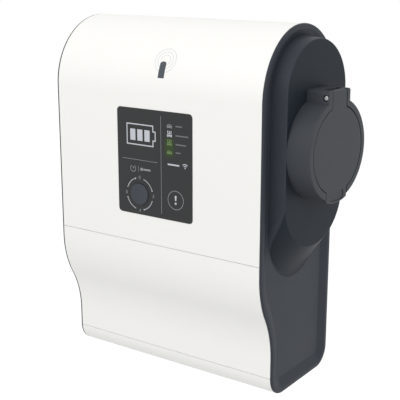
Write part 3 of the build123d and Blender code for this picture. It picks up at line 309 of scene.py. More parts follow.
# %% [markdown]
# ## A soft spot
#
# One more group masks a rounded block, for a tone painted there: painted shade on the pad on the side, and
# painted light that spills under the foil. The block is every point within a radius of its core, which is a
# box.

# %% A soft spot
def make_soft_spot():
    """A mask of a rounded block: 1 inside the radius about its core, fading to 0 over the edge."""
    tree, given, made = new_group(
        "soft_spot",
        [("Centre", "Vector", (0, 0, 0)), ("Core", "Vector", (0, 0, 0)),
         ("Radius", "Float", 0.01), ("Edge", "Float", 0.005)],
        [("Mask", "Float")])
    reach = node(tree, "ShaderNodeTexCoord").outputs["Object"]
    for operation, other in (("SUBTRACT", "Centre"), ("ABSOLUTE", None), ("SUBTRACT", "Core"),
                             ("MAXIMUM", None), ("LENGTH", None)):
        step = node(tree, "ShaderNodeVectorMath", operation=operation)
        feed(step.inputs[0], reach)
        if other:
            feed(step.inputs[1], given[other])
        reach = step.outputs["Value" if operation == "LENGTH" else "Vector"]
    fade = node(tree, "ShaderNodeMapRange", interpolation_type="SMOOTHSTEP")
    set_inputs(fade, Value=calculate(tree, "SUBTRACT", reach, given["Radius"]), From_Max=given["Edge"],
               To_Min=1.0, To_Max=0.0)
    set_inputs(made, Mask=fade.outputs["Result"])
    return tree


soft_spot = make_soft_spot()
print("inputs of the soft spot:", [item.name for item in soft_spot.interface.items_tree][1:])

# %% [markdown]
# ## How a plastic is built
#
# One function builds every plastic, because they differ only in tone, grain and gloss. Roughness and bump
# carry the groups' outputs, and the rest stays plain. Another function paints shade and light into parts of
# finishes, as another tone inside a soft spot.

# %% How a plastic is built
PIGMENT_PATCHES, GRAIN_DEPTH = 14.0, 0.2 * MM


def use_group(tree, group, **values):
    """Places a group in a material, feeds its inputs by name, and returns its outputs."""
    placed = node(tree, "ShaderNodeGroup", node_tree=group)
    set_inputs(placed, **values)
    return placed.outputs


def raised(height, strength, depth):
    """The normal of a surface that a height raises, as a bump of some strength and depth."""
    bump = node(height.id_data, "ShaderNodeBump")
    set_inputs(bump, Height=height, Strength=strength, Distance=depth)
    return bump.outputs["Normal"]


def grey(level, tint):
    """A colour with alpha from a level and a tint."""
    return (*(level * share for share in tint), 1)


def plastic(name, tone, other, gloss, grain=2500.0, bump=0.1, drift=0.06, shine=0.5):
    """A moulded plastic: tone drifting to other, fine grain in the bump and the gloss."""
    material, tree, shader = new_material(name)
    colour = use_group(tree, tone_drift, Tone=tone, Other_Tone=other, Patches_per_Metre=PIGMENT_PATCHES)
    surface = use_group(tree, mould_grain, Grain_per_Metre=grain, Gloss=gloss, Gloss_Drift=drift)
    set_inputs(shader, Base_Color=colour["Color"], Roughness=surface["Roughness"], Specular_IOR_Level=shine,
               Normal=raised(surface["Height"], bump, GRAIN_DEPTH))
    material.diffuse_color = tone
    return material


def spot_on(material, tone, **place):
    """Paints another tone into a material's colour inside a soft spot, as painted shade on the pad and
    painted light on the foil.
    """
    tree = material.node_tree
    base = tree.nodes["Principled BSDF"].inputs["Base Color"]
    mix = node(tree, "ShaderNodeMix", data_type="RGBA")
    mask = use_group(tree, soft_spot, **place)["Mask"]
    set_inputs(mix, Factor=mask, A=base.links[0].from_socket, B=tone)
    feed(base, mix.outputs["Result"])


print("grain depth, mm:", GRAIN_DEPTH / MM)

# %% [markdown]
# ## The plastics
#
# A satin white for the covers, a slate grey for the side panels, a slightly lighter grey for the socket
# and its lid, and near black for what is inside.

# %% The plastics
# Tints of the greys, as shares of red, green and blue
PLAIN, SLATE, GRAPHITE, FOIL = (1.0, 1.0, 1.0), (0.86, 1.0, 1.24), (0.90, 1.0, 1.16), (0.97, 1.0, 1.04)

# Each grey plastic: its tint, the two levels that its tone drifts between, its gloss and what else it sets
GREYS = {
    "slate_panel": (SLATE, 0.047, 0.043, 0.46, {"bump": 0.16, "shine": 0.12}),
    # The right panel's slate, with painted shade on its pad
    "panel_with_painted_shade": (SLATE, 0.047, 0.043, 0.46, {"bump": 0.16, "shine": 0.12}),
    "socket_grey": (GRAPHITE, 0.054, 0.050, 0.48, {"bump": 0.16, "shine": 0.2}),
    "socket_black": (PLAIN, 0.016, 0.013, 0.4, {}),
    "display_foil": (FOIL, 0.033, 0.031, 0.34, {"grain": 4000.0, "bump": 0.04, "shine": 0.22}),
    "dial_slate": (SLATE, 0.050, 0.046, 0.42, {"shine": 0.3}),
    "module_grey": (PLAIN, 0.55, 0.5, 0.5, {}),
    "terminal_grey": (PLAIN, 0.42, 0.38, 0.5, {}),
    "relay_black": (PLAIN, 0.02, 0.016, 0.3, {}),
    "gland_grey": (PLAIN, 0.06, 0.05, 0.5, {}),
    "seal_rubber": (PLAIN, 0.015, 0.012, 0.75, {"grain": 1200.0, "bump": 0.25}),
}
plastics = {name: plastic(name, grey(level, tint), grey(other, tint), gloss, **more)
            for name, (tint, level, other, gloss, more) in GREYS.items()}
plastic("white_cover", (0.90, 0.893, 0.87, 1), (0.885, 0.88, 0.858, 1), gloss=0.42, bump=0.05)
plastic("capacitor_sleeve", (0.02, 0.025, 0.06, 1), (0.017, 0.02, 0.05, 1), gloss=0.25)

# Painted shade: the face and the lower slope of the right panel's pad are painted a shade darker than the
# field around them, partly for the shade that falls there and partly for a darker moulding
PAD_PAINTED_SHADE = (0.016, 0.0215, 0.029, 1)
PAD_MIDDLE = (0, -85 * MM, 63.8 * MM)
PAD_CORE = (1, 0, 83.7 * MM)
PAD_HALF, PAD_FADE = 60.0 * MM, 1.2 * MM
spot_on(plastics["panel_with_painted_shade"], PAD_PAINTED_SHADE, Centre=PAD_MIDDLE, Core=PAD_CORE, Radius=PAD_HALF, Edge=PAD_FADE)

# Light from the two green signs spills a little under the foil
GLOW_TONE = (0.030, 0.055, 0.016, 1)
GLOW_MIDDLE = (24.5 * MM, 0, 78.5 * MM)
GLOW_CORE = (2.5 * MM, 1, 7.5 * MM)
GLOW_HALF, GLOW_FADE = 1 * MM, 6 * MM
spot_on(plastics["display_foil"], GLOW_TONE, Centre=GLOW_MIDDLE, Core=GLOW_CORE, Radius=GLOW_HALF,
        Edge=GLOW_FADE)
print("grey plastics:", list(plastics))

# %% [markdown]
# ## Metals, boards and clear parts
#
# Steel screws and pins are zinc plated, so their brightness comes from a high metallic value and a gloss
# that wanders along the turning marks. Contacts are brass. A circuit board is a dark green resist with
# copper tracks just visible under it, drawn here as cells of a Voronoi pattern on the board's plane.

# %% Metals, boards and clear parts
MARK_DETAIL, MARK_STRETCH, MARK_DEPTH = 2, (1, 0.15, 0.15), 0.1 * MM
PLATING_PATCHES = 300.0
TRACKS_PER_METRE, TRACK_EDGE, TRACK_BUMP = 160, (0.03, 0.07), 0.2
BOARD_GLOSS = 0.3
TRACK_TONE, RESIST_TONE = (0.035, 0.13, 0.06, 1), (0.012, 0.07, 0.03, 1)


def make_turned_marks():
    """Gloss and height of fine turning marks along one axis."""
    tree, given, made = new_group(
        "turned_marks",
        [("Marks per Metre", "Float", 6000.0), ("Gloss", "Float", 0.25), ("Spread", "Float", 0.1)],
        [("Height", "Float"), ("Roughness", "Float")])
    squeezed = texture(tree, "ShaderNodeMapping", Scale=MARK_STRETCH).outputs["Vector"]
    noise = node(tree, "ShaderNodeTexNoise")
    set_inputs(noise, Vector=squeezed, Scale=given["Marks per Metre"], Detail=MARK_DETAIL)
    marks = noise.outputs["Fac"]
    set_inputs(made, Height=marks,
               Roughness=calculate(tree, "MULTIPLY_ADD", marks, given["Spread"], given["Gloss"]))
    return tree


def metal(name, tone, other, gloss, bump=0.05):
    """A turned or pressed metal."""
    material, tree, shader = new_material(name)
    colour = use_group(tree, tone_drift, Tone=tone, Other_Tone=other, Patches_per_Metre=PLATING_PATCHES)
    surface = use_group(tree, turned_marks, Gloss=gloss)
    set_inputs(shader, Base_Color=colour["Color"], Roughness=surface["Roughness"], Metallic=1.0,
               Normal=raised(surface["Height"], bump, MARK_DEPTH))
    return material


def circuit_board(name):
    """Green resist with a faint pattern of tracks."""
    tree, shader = new_material(name)[1:]
    cells = texture(tree, "ShaderNodeTexVoronoi", Scale=TRACKS_PER_METRE)
    cells.distance, cells.feature = "MANHATTAN", "DISTANCE_TO_EDGE"
    track = node(tree, "ShaderNodeMapRange")
    set_inputs(track, Value=cells.outputs["Distance"], From_Min=TRACK_EDGE[0], From_Max=TRACK_EDGE[1])
    beside = track.outputs["Result"]
    colour = node(tree, "ShaderNodeMix", data_type="RGBA")
    set_inputs(colour, Factor=beside, A=TRACK_TONE, B=RESIST_TONE)
    set_inputs(shader, Base_Color=colour.outputs["Result"], Roughness=BOARD_GLOSS,
               Normal=raised(beside, TRACK_BUMP, MARK_DEPTH))


turned_marks = make_turned_marks()
zinc_steel = metal("zinc_steel", (0.70, 0.70, 0.70, 1), (0.60, 0.61, 0.63, 1), gloss=0.22)
metal("spring_steel", (0.52, 0.52, 0.53, 1), (0.44, 0.44, 0.45, 1), gloss=0.25)
metal("contact_brass", (0.78, 0.60, 0.32, 1), (0.70, 0.52, 0.26, 1), gloss=0.24)
circuit_board("board_green")
plastic("clear_guide", grey(0.7, PLAIN), grey(0.66, PLAIN), gloss=0.15, bump=0.02)
print("materials:", len(bpy.data.materials))

# %% [markdown]
# ## Dressing the solid model
#
# The solid nodes keep their shape, and each takes one of the finishes above. The table names the nodes
# by what they are made of on the real product. Nodes that aren't in it are zinc plated steel.

# %% Dressing the solid model
FINISHES = {
    "white_cover": ["upper_cover", "lower_cover", "back_housing"],
    "slate_panel": ["left_side_panel"],
    "panel_with_painted_shade": ["right_side_panel"],
    "socket_grey": ["socket_housing", "socket_lid"],
    "socket_black": ["socket_insert", "contact_carrier", "plug_lock_drive"],
    "seal_rubber": ["right_panel_seal", "left_panel_seal", "socket_housing_gasket", "lid_gasket",
                    "gland_seal"],
    "zinc_steel": ["mounting_rail", "hinge_pin", "plug_lock_pin", "dial_shaft", "dial_encoder",
                   "terminal_clamp_screws", "earth_clamp_screws"],
    "spring_steel": ["lid_spring"],
    "contact_brass": ["power_contacts", "signal_contacts", "earth_bar"],
    "display_foil": ["display_panel"],
    "dial_slate": ["timer_dial"],
    "board_green": ["display_board", "reader_board", "control_board"],
    "clear_guide": ["light_guides"],
    "relay_black": ["board_relays"],
    "capacitor_sleeve": ["board_capacitors"],
    "module_grey": ["contactor", "power_supply", "energy_meter"],
    "terminal_grey": ["terminal_block"],
    "gland_grey": ["gland_body", "gland_nut", "gland_locknut"],
}
finish_of = {name: finish for finish, names in FINISHES.items() for name in names}
for name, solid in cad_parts.items():
    solid.data.materials.clear()
    solid.data.materials.append(bpy.data.materials[finish_of.get(name, "zinc_steel")])
print("not in the table:", sorted(set(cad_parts) - set(finish_of)))

# %% [markdown]
# ## Printing
#
# Everything printed on the object is flat ink with sharp edges, so each mark is built as what it is: a
# plan drawn in millimetres, laid on its surface a few hundredths of a millimetre thick. Plans are lists of
# polygons, and lines become strips with mitred corners.

# %% Plans made of polygons
ARC_STEP, DISC_STEP, CORNER_STEP = 5.0, 15, 22.5


def bar_plan(x, z, width, tall):
    """A rectangle about a centre."""
    half_x, half_z = width / 2, tall / 2
    return [[(x - half_x, z - half_z), (x + half_x, z - half_z),
             (x + half_x, z + half_z), (x - half_x, z + half_z)]]


def arc_points(x, z, radius, start, end, step=ARC_STEP):
    """Points on an arc, angles in degrees anticlockwise from the right."""
    count = max(2, math.ceil(abs(end - start) / step))
    angles = [math.radians(start + (end - start) * index / count) for index in range(count + 1)]
    return [(x + radius * math.cos(angle), z + radius * math.sin(angle)) for angle in angles]


def disc_plan(x, z, radius):
    """A round dot as one polygon."""
    return [arc_points(x, z, radius, 0, 360 - DISC_STEP, DISC_STEP)]


def rounded_points(x, z, width, tall, radius):
    """The outline of a rectangle with round corners."""
    points = []
    for turn, (side_x, side_z) in enumerate(((1, 1), (-1, 1), (-1, -1), (1, -1))):
        corner_x = x + side_x * (width / 2 - radius)
        corner_z = z + side_z * (tall / 2 - radius)
        points += arc_points(corner_x, corner_z, radius, turn * 90, turn * 90 + 90, CORNER_STEP)
    return points


def stroke_plan(points, width, closed=False):
    """A line of some width as quads, mitred where it turns."""
    line = [Vector(point) for point in points]
    last = len(line) - 1
    sides = []
    for index, point in enumerate(line):
        way_in = point - line[index - 1] if index or closed else None
        way_out = line[(index + 1) % len(line)] - point if index < last or closed else None
        way_in, way_out = (way_in or way_out).normalized(), (way_out or way_in).normalized()
        across = Vector((-way_in.y, way_in.x))
        mitre = (across + Vector((-way_out.y, way_out.x))).normalized()
        reach = mitre * width / (2 * mitre.dot(across))
        sides.append((point + reach, point - reach))
    pairs = list(zip(sides, sides[1:] + sides[:1]))
    return [[low[1], high[1], high[0], low[0]] for low, high in (pairs if closed else pairs[:-1])]


print("points of a quarter arc:", len(arc_points(0, 0, 1, 0, 90)))

# %% [markdown]
# ## From a plan to a piece
#
# A plan becomes a face that lies one ink's thickness above its surface, with walls down to it wherever no
# neighbouring polygon shares the edge, so the print is closed to the eye from every side. A place turns
# the plan's two measures and a height into a point on the object. A finished mesh is then handed over as a
# piece that rides on a body of the solid model.

# %% Meshes and pieces
INK_THICKNESS = 0.06 * MM
SAME_PLACES = 4


def area(polygon):
    """Signed area, positive when the points run anticlockwise."""
    pairs = zip(polygon, polygon[1:] + polygon[:1])
    return sum(a[0] * b[1] - b[0] * a[1] for a, b in pairs) / 2


def plan_mesh(name, plan, place):
    """A thin raised mesh of a plan: its face, and walls where no neighbour shares the edge."""
    rounded = [[(round(x, SAME_PLACES), round(z, SAME_PLACES)) for x, z in polygon] for polygon in plan]
    facing = [polygon if area(polygon) > 0 else polygon[::-1] for polygon in rounded]
    edges = {(a, b) for polygon in facing for a, b in zip(polygon, polygon[1:] + polygon[:1])}
    shape = bmesh.new()
    made = {}

    def vertex(point, lift):
        if (point, lift) not in made:
            made[point, lift] = shape.verts.new(place(point[0] * MM, point[1] * MM, lift))
        return made[point, lift]

    for polygon in facing:
        shape.faces.new([vertex(point, INK_THICKNESS) for point in polygon])
        for a, b in zip(polygon, polygon[1:] + polygon[:1]):
            if (b, a) not in edges:
                shape.faces.new([vertex(a, INK_THICKNESS), vertex(a, 0), vertex(b, 0),
                                 vertex(b, INK_THICKNESS)])
    mesh = bpy.data.meshes.new(name)
    shape.to_mesh(mesh)
    shape.free()
    return mesh


def add_piece(name, mesh, finish, body="housing"):
    """Puts a mesh in the scene as a finished piece that rides on a body."""
    piece = new_object(name, mesh)
    if finish is not None:
        mesh.materials.clear()
        mesh.materials.append(finish)
    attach(piece, body)
    return piece


panel_low, panel_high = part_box("display_panel")
panel_middle = (panel_low + panel_high) / 2


def on_display(x, z, lift):
    """A point of the display's face, measured from its centre."""
    return (panel_middle.x + x, panel_low.y - lift, panel_middle.z + z)


print("display face, metres:", [round(size, 4) for size in panel_high - panel_low])

# %% [markdown]
# ## Copies by a step and a turn
#
# The dial's four arcs and the battery's three bars repeat, and so do the screws. Geometry node groups lay
# them out. They end by making the copies real and giving them their finish, so what leaves them is a plain
# mesh. The first group puts each copy a step and a turn from the one before.

# %% Copies by a step and a turn
def new_geometry_group(name, inputs):
    """A geometry node group with a geometry in and out and more named inputs."""
    return new_group(name, [("Geometry", "Geometry", None)] + inputs,
                     [("Geometry", "Geometry")], "GeometryNodeTree")


def finish_geometry(given, made, instances):
    """Ends a geometry group: copies made real and given their finish."""
    real = node(made.id_data, "GeometryNodeRealizeInstances")
    set_inputs(real, Geometry=instances)
    coated = node(made.id_data, "GeometryNodeSetMaterial")
    set_inputs(coated, Geometry=real.outputs["Geometry"], Material=given["Finish"])
    set_inputs(made, Geometry=coated.outputs["Geometry"])


def make_copies():
    """Copies of a geometry, each a step along and a turn about Y from the one before."""
    tree, given, made = new_geometry_group("copies", [
        ("Count", "Int", 4), ("Step", "Vector", (0, 0, 0)),
        ("Turn", "Float", 0.0), ("Finish", "Material", None)])
    line = node(tree, "GeometryNodeMeshLine", mode="OFFSET")
    set_inputs(line, Count=given["Count"], Offset=given["Step"])
    which = node(tree, "GeometryNodeInputIndex").outputs["Index"]
    about_y = node(tree, "ShaderNodeCombineXYZ")
    set_inputs(about_y, Y=calculate(tree, "MULTIPLY", which, given["Turn"]))
    placed = node(tree, "GeometryNodeInstanceOnPoints")
    set_inputs(placed, Points=line.outputs["Mesh"], Instance=given["Geometry"],
               Rotation=about_y.outputs["Vector"])
    finish_geometry(given, made, placed.outputs["Instances"])
    return tree


copies = make_copies()
print("inputs of the copies:", [item.name for item in copies.interface.items_tree][2:])

# %% [markdown]
# ## A model on every point
#
# The second group stands a model on points. Each looks the way that its point names, and is turned about
# it at random. A mesh is sent through a group by a modifier, and comes back plain.

# %% A model on every point
def make_stand_on_points():
    """A model on every point, its Z along the point's way and turned at random about it."""
    tree, given, made = new_geometry_group("stand_on_points", [
        ("Model", "Object", None), ("Seed", "Int", 7), ("Finish", "Material", None)])
    model = node(tree, "GeometryNodeObjectInfo")
    set_inputs(model, Object=given["Model"])
    way = node(tree, "GeometryNodeInputNamedAttribute", data_type="FLOAT_VECTOR")
    set_inputs(way, Name="way")
    spin = node(tree, "FunctionNodeRandomValue", data_type="FLOAT")
    spin.inputs[3].default_value = math.tau
    set_inputs(spin, Seed=given["Seed"])
    about_z = node(tree, "ShaderNodeCombineXYZ")
    set_inputs(about_z, Z=spin.outputs[1])
    align = node(tree, "FunctionNodeAlignEulerToVector", axis="Z")
    set_inputs(align, Rotation=about_z.outputs["Vector"], Vector=way.outputs["Attribute"])
    placed = node(tree, "GeometryNodeInstanceOnPoints")
    set_inputs(placed, Points=given["Geometry"], Instance=model.outputs["Geometry"],
               Rotation=align.outputs["Rotation"])
    finish_geometry(given, made, placed.outputs["Instances"])
    return tree


def through_group(name, mesh, group, **values):
    """Runs a mesh through a geometry group with inputs by name, and returns the plain mesh."""
    holder = new_object(name, mesh)
    modifier = holder.modifiers.new(group.name, "NODES")
    modifier.node_group = group
    sockets = {item.name: item.identifier for item in group.interface.items_tree
               if item.in_out == "INPUT"}
    for label, value in values.items():
        modifier[sockets[label]] = value
    bpy.context.view_layer.update()
    evaluated = holder.evaluated_get(bpy.context.evaluated_depsgraph_get())
    result = bpy.data.meshes.new_from_object(evaluated)
    result.name = name
    bpy.data.objects.remove(holder)
    return result


stand_on_points = make_stand_on_points()
print("geometry group:", stand_on_points.name)

# %% [markdown]
# ## Inks
#
# The foil's print is in three strengths of grey: the battery and the lit bars are bright, lines and signs
# are softer, and the small label bars are dim. The bright marks and the two green signs are lit from
# behind, so their inks give off a little light in their own tones. An ink has hardly any grain.

# %% Inks
INK_DRIFT, INK_GLOSS, INK_GRAIN, INK_BUMP = 0.9, 0.5, 5000.0, 0.02


def ink(name, tone, glow=0.0):
    """Flat printed ink; glow lights it from behind in its own tone."""
    other = tuple(INK_DRIFT * part for part in tone[:3]) + (1,)
    material = plastic(name, tone, other, INK_GLOSS, grain=INK_GRAIN, bump=INK_BUMP)
    set_inputs(material.node_tree.nodes["Principled BSDF"], Emission_Color=tone, Emission_Strength=glow)
    return material


def add_mark(name, plan, finish):
    """Prints a plan on the display."""
    add_piece(name, plan_mesh(name, plan, on_display), finish)


bright_ink = ink("bright_ink", (0.50, 0.52, 0.56, 1), glow=0.1)
soft_ink = ink("soft_ink", (0.27, 0.28, 0.30, 1))
dim_ink = ink("dim_ink", (0.15, 0.155, 0.165, 1))
green_lit = ink("green_lit", (0.12, 0.19, 0.06, 1), glow=0.2)
edge_ink = ink("edge_ink", (0.010, 0.011, 0.012, 1))
print("inks:", [material.name for material in (bright_ink, soft_ink, dim_ink, green_lit, edge_ink)])

# %% [markdown]
# ## Battery, dividers and the foil's edge
#
# The largest mark is the battery: one closed line round the case and its nub, and three bars in it that a
# node group lays out from one. Two thin lines divide the foil into its fields, and a dark line runs round
# its edge. Places and sizes are in millimetres from the middle of the foil, as measured in the photograph.

# %% Battery, dividers and the foil's edge
BATTERY_X, BATTERY_Z = -21.5, 34.25
BATTERY_WIDE, BATTERY_TALL, BATTERY_STROKE = 40.0, 25.0, 1.4
NUB_LONG, NUB_TALL = 3.5, 11.0
case_start, case_end = BATTERY_X - BATTERY_WIDE / 2, BATTERY_X + BATTERY_WIDE / 2
case_half, nub_half, nub_end = BATTERY_TALL / 2, NUB_TALL / 2, case_end + NUB_LONG
battery = [(x, BATTERY_Z + side) for x, side in (
    (case_end, case_half), (case_start, case_half), (case_start, -case_half), (case_end, -case_half),
    (case_end, -nub_half), (nub_end, -nub_half), (nub_end, nub_half), (case_end, nub_half))]
add_mark("battery_outline", stroke_plan(battery, BATTERY_STROKE, True), bright_ink)

BAR_FIRST, BAR_SIZE = (-32.5, 33.75), (8.0, 14.0)
BAR_PITCH, BAR_COUNT = 11.0, 3
one_bar = plan_mesh("battery_bars", bar_plan(*BAR_FIRST, *BAR_SIZE), on_display)
bar_row = through_group("battery_bars", one_bar, copies, Count=BAR_COUNT, Step=(BAR_PITCH * MM, 0, 0),
                        Finish=bright_ink)
add_piece("battery_bars", bar_row, None)

DIVIDERS = [[(10.5, -60.0), (10.5, 60.0)], [(-49.5, 2.75), (4.5, 2.75)]]
DIVIDER_WIDTH = 0.5
dividers = [polygon for line in DIVIDERS for polygon in stroke_plan(line, DIVIDER_WIDTH)]
add_mark("foil_dividers", dividers, soft_ink)

EDGE_STROKE, EDGE_ROUND = 1.3, 4.4
foil_size = (panel_high - panel_low) / MM
edge = rounded_points(0, 0, foil_size.x - EDGE_STROKE, foil_size.z - EDGE_STROKE, EDGE_ROUND)
add_mark("foil_edge", stroke_plan(edge, EDGE_STROKE, True), edge_ink)
print("foil, mm:", round(foil_size.x, 1), "by", round(foil_size.z, 1), "- battery bars:", BAR_COUNT)

# %% [markdown]
# ## State signs
#
# Four small cars stand in a column, each with a label bar, and two of them have three short marks above.
# A car is one plan that scales with its width, because it is seen only a few millimetres wide: roof line,
# body with two square lamps, and wheels. Short plain bars stand for labels.

# %% State signs
CAR_WIDTH, CAR_TALL, CAR_LINE = 7.4, 0.27, 0.11
CAR_ROOF = ((-0.4, 0.45), (-0.28, 1.15), (0.28, 1.15), (0.4, 0.45))

# The bars of a car's front, by middle and size, in shares of its width and height
CAR_BARS = ((0, 0.34, 1, 0.34), (0, -0.34, 1, 0.34), (-0.44, 0, 0.12, 0.36), (0, 0, 0.36, 0.36),
            (0.44, 0, 0.12, 0.36), (-0.34, -0.68, 0.16, 0.36), (0.34, -0.68, 0.16, 0.36))

# Each sign's height, its label's height and length, whether it has marks above, and its ink
STATES = [(48.6, 50.0, 9.5, False, soft_ink), (38.0, 38.8, 18.5, True, bright_ink),
          (27.5, 28.2, 15.0, True, green_lit), (17.0, 18.3, 7.0, False, green_lit)]
STATE_X, LABEL_X, LABEL_TALL = 23.4, 32.5, 1.5
MARKS_UP, MARK_SIZE, MARK_PITCH = 4.4, (1.17, 2.6), 2.5


def car_plan(x, z):
    """A plain car seen from the front: roof line, body with two square lamps, and two wheels."""
    tall = CAR_TALL * CAR_WIDTH
    plan = stroke_plan([(x + across * CAR_WIDTH, z + up * tall) for across, up in CAR_ROOF],
                       CAR_LINE * CAR_WIDTH)
    for across, up, wide, high in CAR_BARS:
        plan += bar_plan(x + across * CAR_WIDTH, z + up * tall, wide * CAR_WIDTH, high * tall)
    return plan


labels = []
for number, (z, label_z, label, marked, finish) in enumerate(STATES, 1):
    sign = car_plan(STATE_X, z)
    for step in (-1, 0, 1) if marked else ():
        sign += bar_plan(STATE_X + step * MARK_PITCH, z + MARKS_UP, *MARK_SIZE)
    add_mark("state_sign_" + str(number), sign, finish)
    labels += bar_plan(LABEL_X + label / 2, label_z, label, LABEL_TALL)
add_mark("label_bars", labels, dim_ink)
print("state signs:", len(STATES))

# %% [markdown]
# ## Signal, alert and clock
#
# Three signs that a user of such a box knows from elsewhere: a fan of arcs for the wireless link, an
# exclamation mark in a ring for a fault, and a clock with a stop square above the timer dial. Arcs and
# rings are strokes along an arc, and the rest is bars and dots.

# %% Signal, alert and clock
SIGNAL, SIGNAL_DOT, SIGNAL_RADII = (46.2, 1.1), 0.8, (2.4, 4.7)
SIGNAL_FROM, SIGNAL_TO, SIGNAL_STROKE = 42, 138, 1.0
SIGNAL_LABEL = (29.1, 3.0, 17.2, 1.9)
signal = disc_plan(*SIGNAL, SIGNAL_DOT) + bar_plan(*SIGNAL_LABEL)
for radius in SIGNAL_RADII:
    signal += stroke_plan(arc_points(*SIGNAL, radius, SIGNAL_FROM, SIGNAL_TO), SIGNAL_STROKE)
add_mark("signal_sign", signal, bright_ink)

ALERT, ALERT_R, ALERT_STROKE = (32.0, -40.25), 11.5, 0.7
ALERT_WEDGE = ((-1.5, 5.5), (-0.8, -0.6), (0.8, -0.6), (1.5, 5.5))
ALERT_DOT, ALERT_DOT_DROP = 1.4, 4.0
alert = [[(ALERT[0] + x, ALERT[1] + z) for x, z in ALERT_WEDGE]]
alert += disc_plan(ALERT[0], ALERT[1] - ALERT_DOT_DROP, ALERT_DOT)
add_mark("alert_mark", alert, bright_ink)
alert_ring = stroke_plan(arc_points(*ALERT, ALERT_R, 0, 360 - ARC_STEP), ALERT_STROKE, True)
add_mark("alert_ring", alert_ring, soft_ink)

CLOCK, CLOCK_R, CLOCK_STROKE, HAND_STROKE = (-33.0, -8.75), 4.0, 0.7, 0.6
CLOCK_FROM, CLOCK_TO = 120, 420
CLOCK_HANDS = ((0, 3.0), (0, 0), (2.0, 1.6))

# Beside the clock: an upright stroke, the stop square and a label bar, by middle and size
CLOCK_BARS = ((-24.5, -8.5, 0.5, 7.0), (-19.6, -8.5, 3.6, 3.6), (-11.4, -8.5, 11.2, 2.2))
clock = stroke_plan(arc_points(*CLOCK, CLOCK_R, CLOCK_FROM, CLOCK_TO), CLOCK_STROKE)
clock += stroke_plan([(CLOCK[0] + x, CLOCK[1] + z) for x, z in CLOCK_HANDS], HAND_STROKE)
for bar in CLOCK_BARS:
    clock += bar_plan(*bar)
add_mark("clock_sign", clock, soft_ink)
print("polygons of signal, alert and clock:", len(signal), len(alert), len(clock))

# %% [markdown]
# ## The dial's scale
#
# Four arcs run round the dial, each starting with a dot, and plain hours stand between them. The arcs
# repeat by a quarter turn, so one is drawn about the dial's middle and a node group turns the copies.

# %% The dial's scale
DIAL = (-23.0, -40.25)
SCALE_R, SCALE_STROKE, SCALE_DOT = 20.2, 0.75, 1.0
SCALE_FIRST, SCALE_SWEEP, SCALE_COUNT = 19.0, 53.0, 4
HOUR_R, HOUR_TALL, HOUR_STROKE = 21.0, 3.4, 0.55
DIGIT_WIDE, DIGIT_ROUND, DIGIT_STEM = 0.54, 0.9, 0.4
DIGIT_CURL = (170, -30)

# Each hour's digit, and the side of the dial that it stands on
HOURS = ((0, 0, 1), (2, 1, 0), (4, 0, -1), (8, -1, 0))


def about_dial(x, z, lift):
    """A point of a flat face, measured from the dial's middle."""
    return (x, -lift, z)


def digit_plan(digit, x, z):
    """A plain digit 0, 2, 4 or 8 in lines."""
    half_x, half_z = DIGIT_WIDE * HOUR_TALL / 2, HOUR_TALL / 2
    if digit == 0:
        lines = [rounded_points(x, z, 2 * half_x, HOUR_TALL, DIGIT_ROUND * half_x)]
    elif digit == 8:
        lines = [rounded_points(x, z + side * half_z / 2, 2 * half_x, half_z, DIGIT_ROUND * half_z / 2)
                 for side in (-1, 1)]
    elif digit == 4:
        stem_x, bar_z = x + DIGIT_STEM * half_x, z - DIGIT_STEM * half_z
        lines = [[(x + half_x, bar_z), (x - half_x, bar_z), (stem_x, z + half_z), (stem_x, z - half_z)]]
    else:
        curl = arc_points(x, z + half_z - half_x, half_x, *DIGIT_CURL)
        lines = [curl + [(x - half_x, z - half_z), (x + half_x, z - half_z)]]
    return [polygon for line in lines for polygon in stroke_plan(line, HOUR_STROKE, digit in (0, 8))]


arc = arc_points(0, 0, SCALE_R, SCALE_FIRST, SCALE_FIRST + SCALE_SWEEP)
one_arc = stroke_plan(arc, SCALE_STROKE) + disc_plan(*arc[0], SCALE_DOT)
scale_mesh = through_group("dial_scale", plan_mesh("dial_scale", one_arc, about_dial), copies,
                           Count=SCALE_COUNT, Turn=math.tau / SCALE_COUNT, Finish=bright_ink)
scale_mesh.transform(Matrix.Translation(on_display(DIAL[0] * MM, DIAL[1] * MM, 0)))
add_piece("dial_scale", scale_mesh, None)
hours = [polygon for digit, side_x, side_z in HOURS
         for polygon in digit_plan(digit, DIAL[0] + side_x * HOUR_R, DIAL[1] + side_z * HOUR_R)]
add_mark("dial_hours", hours, soft_ink)
print("hours:", [digit for digit, *side in HOURS])

# %% [markdown]
# ## The reader's sign on the rounded top
#
# Where a card is held, the cover carries a dark upright bar with three pale rings of waves about its top.
# It lies on the arch, so its place bends: heights become lengths along the curve. Long edges are cut
# about every millimetre first, so that they follow it.

# %% The reader's sign
cover_low, cover_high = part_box("upper_cover")
ARCH_R = -cover_low.y / 2
ARCH_Z = cover_high.z - ARCH_R
WAVES, WAVE_RADII = (12.3, 42.2), (6.8, 10.9, 15.0)
WAVE_STROKE, WAVE_GAP, WAVE_STEP = 0.65, 0.8, 4.0
TAG_X, TAG_LOW, TAG_HIGH, TAG_WIDTH, TAG_ROUND = 10.5, 20.2, 40.5, 9.0, 3.2
TAG_STEPS = 20


def on_arch(x, along, lift):
    """A point of the rounded top, with its height measured along the curve from the front."""
    angle = along / ARCH_R
    reach = ARCH_R + lift
    return (x, -ARCH_R - reach * math.cos(angle), ARCH_Z + reach * math.sin(angle))


wave_ink = ink("wave_ink", (0.62, 0.65, 0.69, 1))
tag_ink = ink("tag_ink", (0.045, 0.058, 0.075, 1))
clear = TAG_WIDTH / 2 + WAVE_GAP
waves = []
for radius in WAVE_RADII:
    right, left = (math.degrees(math.acos(min(1.0, (clear + side * (TAG_X - WAVES[0])) / radius)))
                   for side in (1, -1))
    waves += stroke_plan(arc_points(*WAVES, radius, -right, 180 + left, WAVE_STEP), WAVE_STROKE)
add_piece("reader_waves", plan_mesh("reader_waves", waves, on_arch), wave_ink)


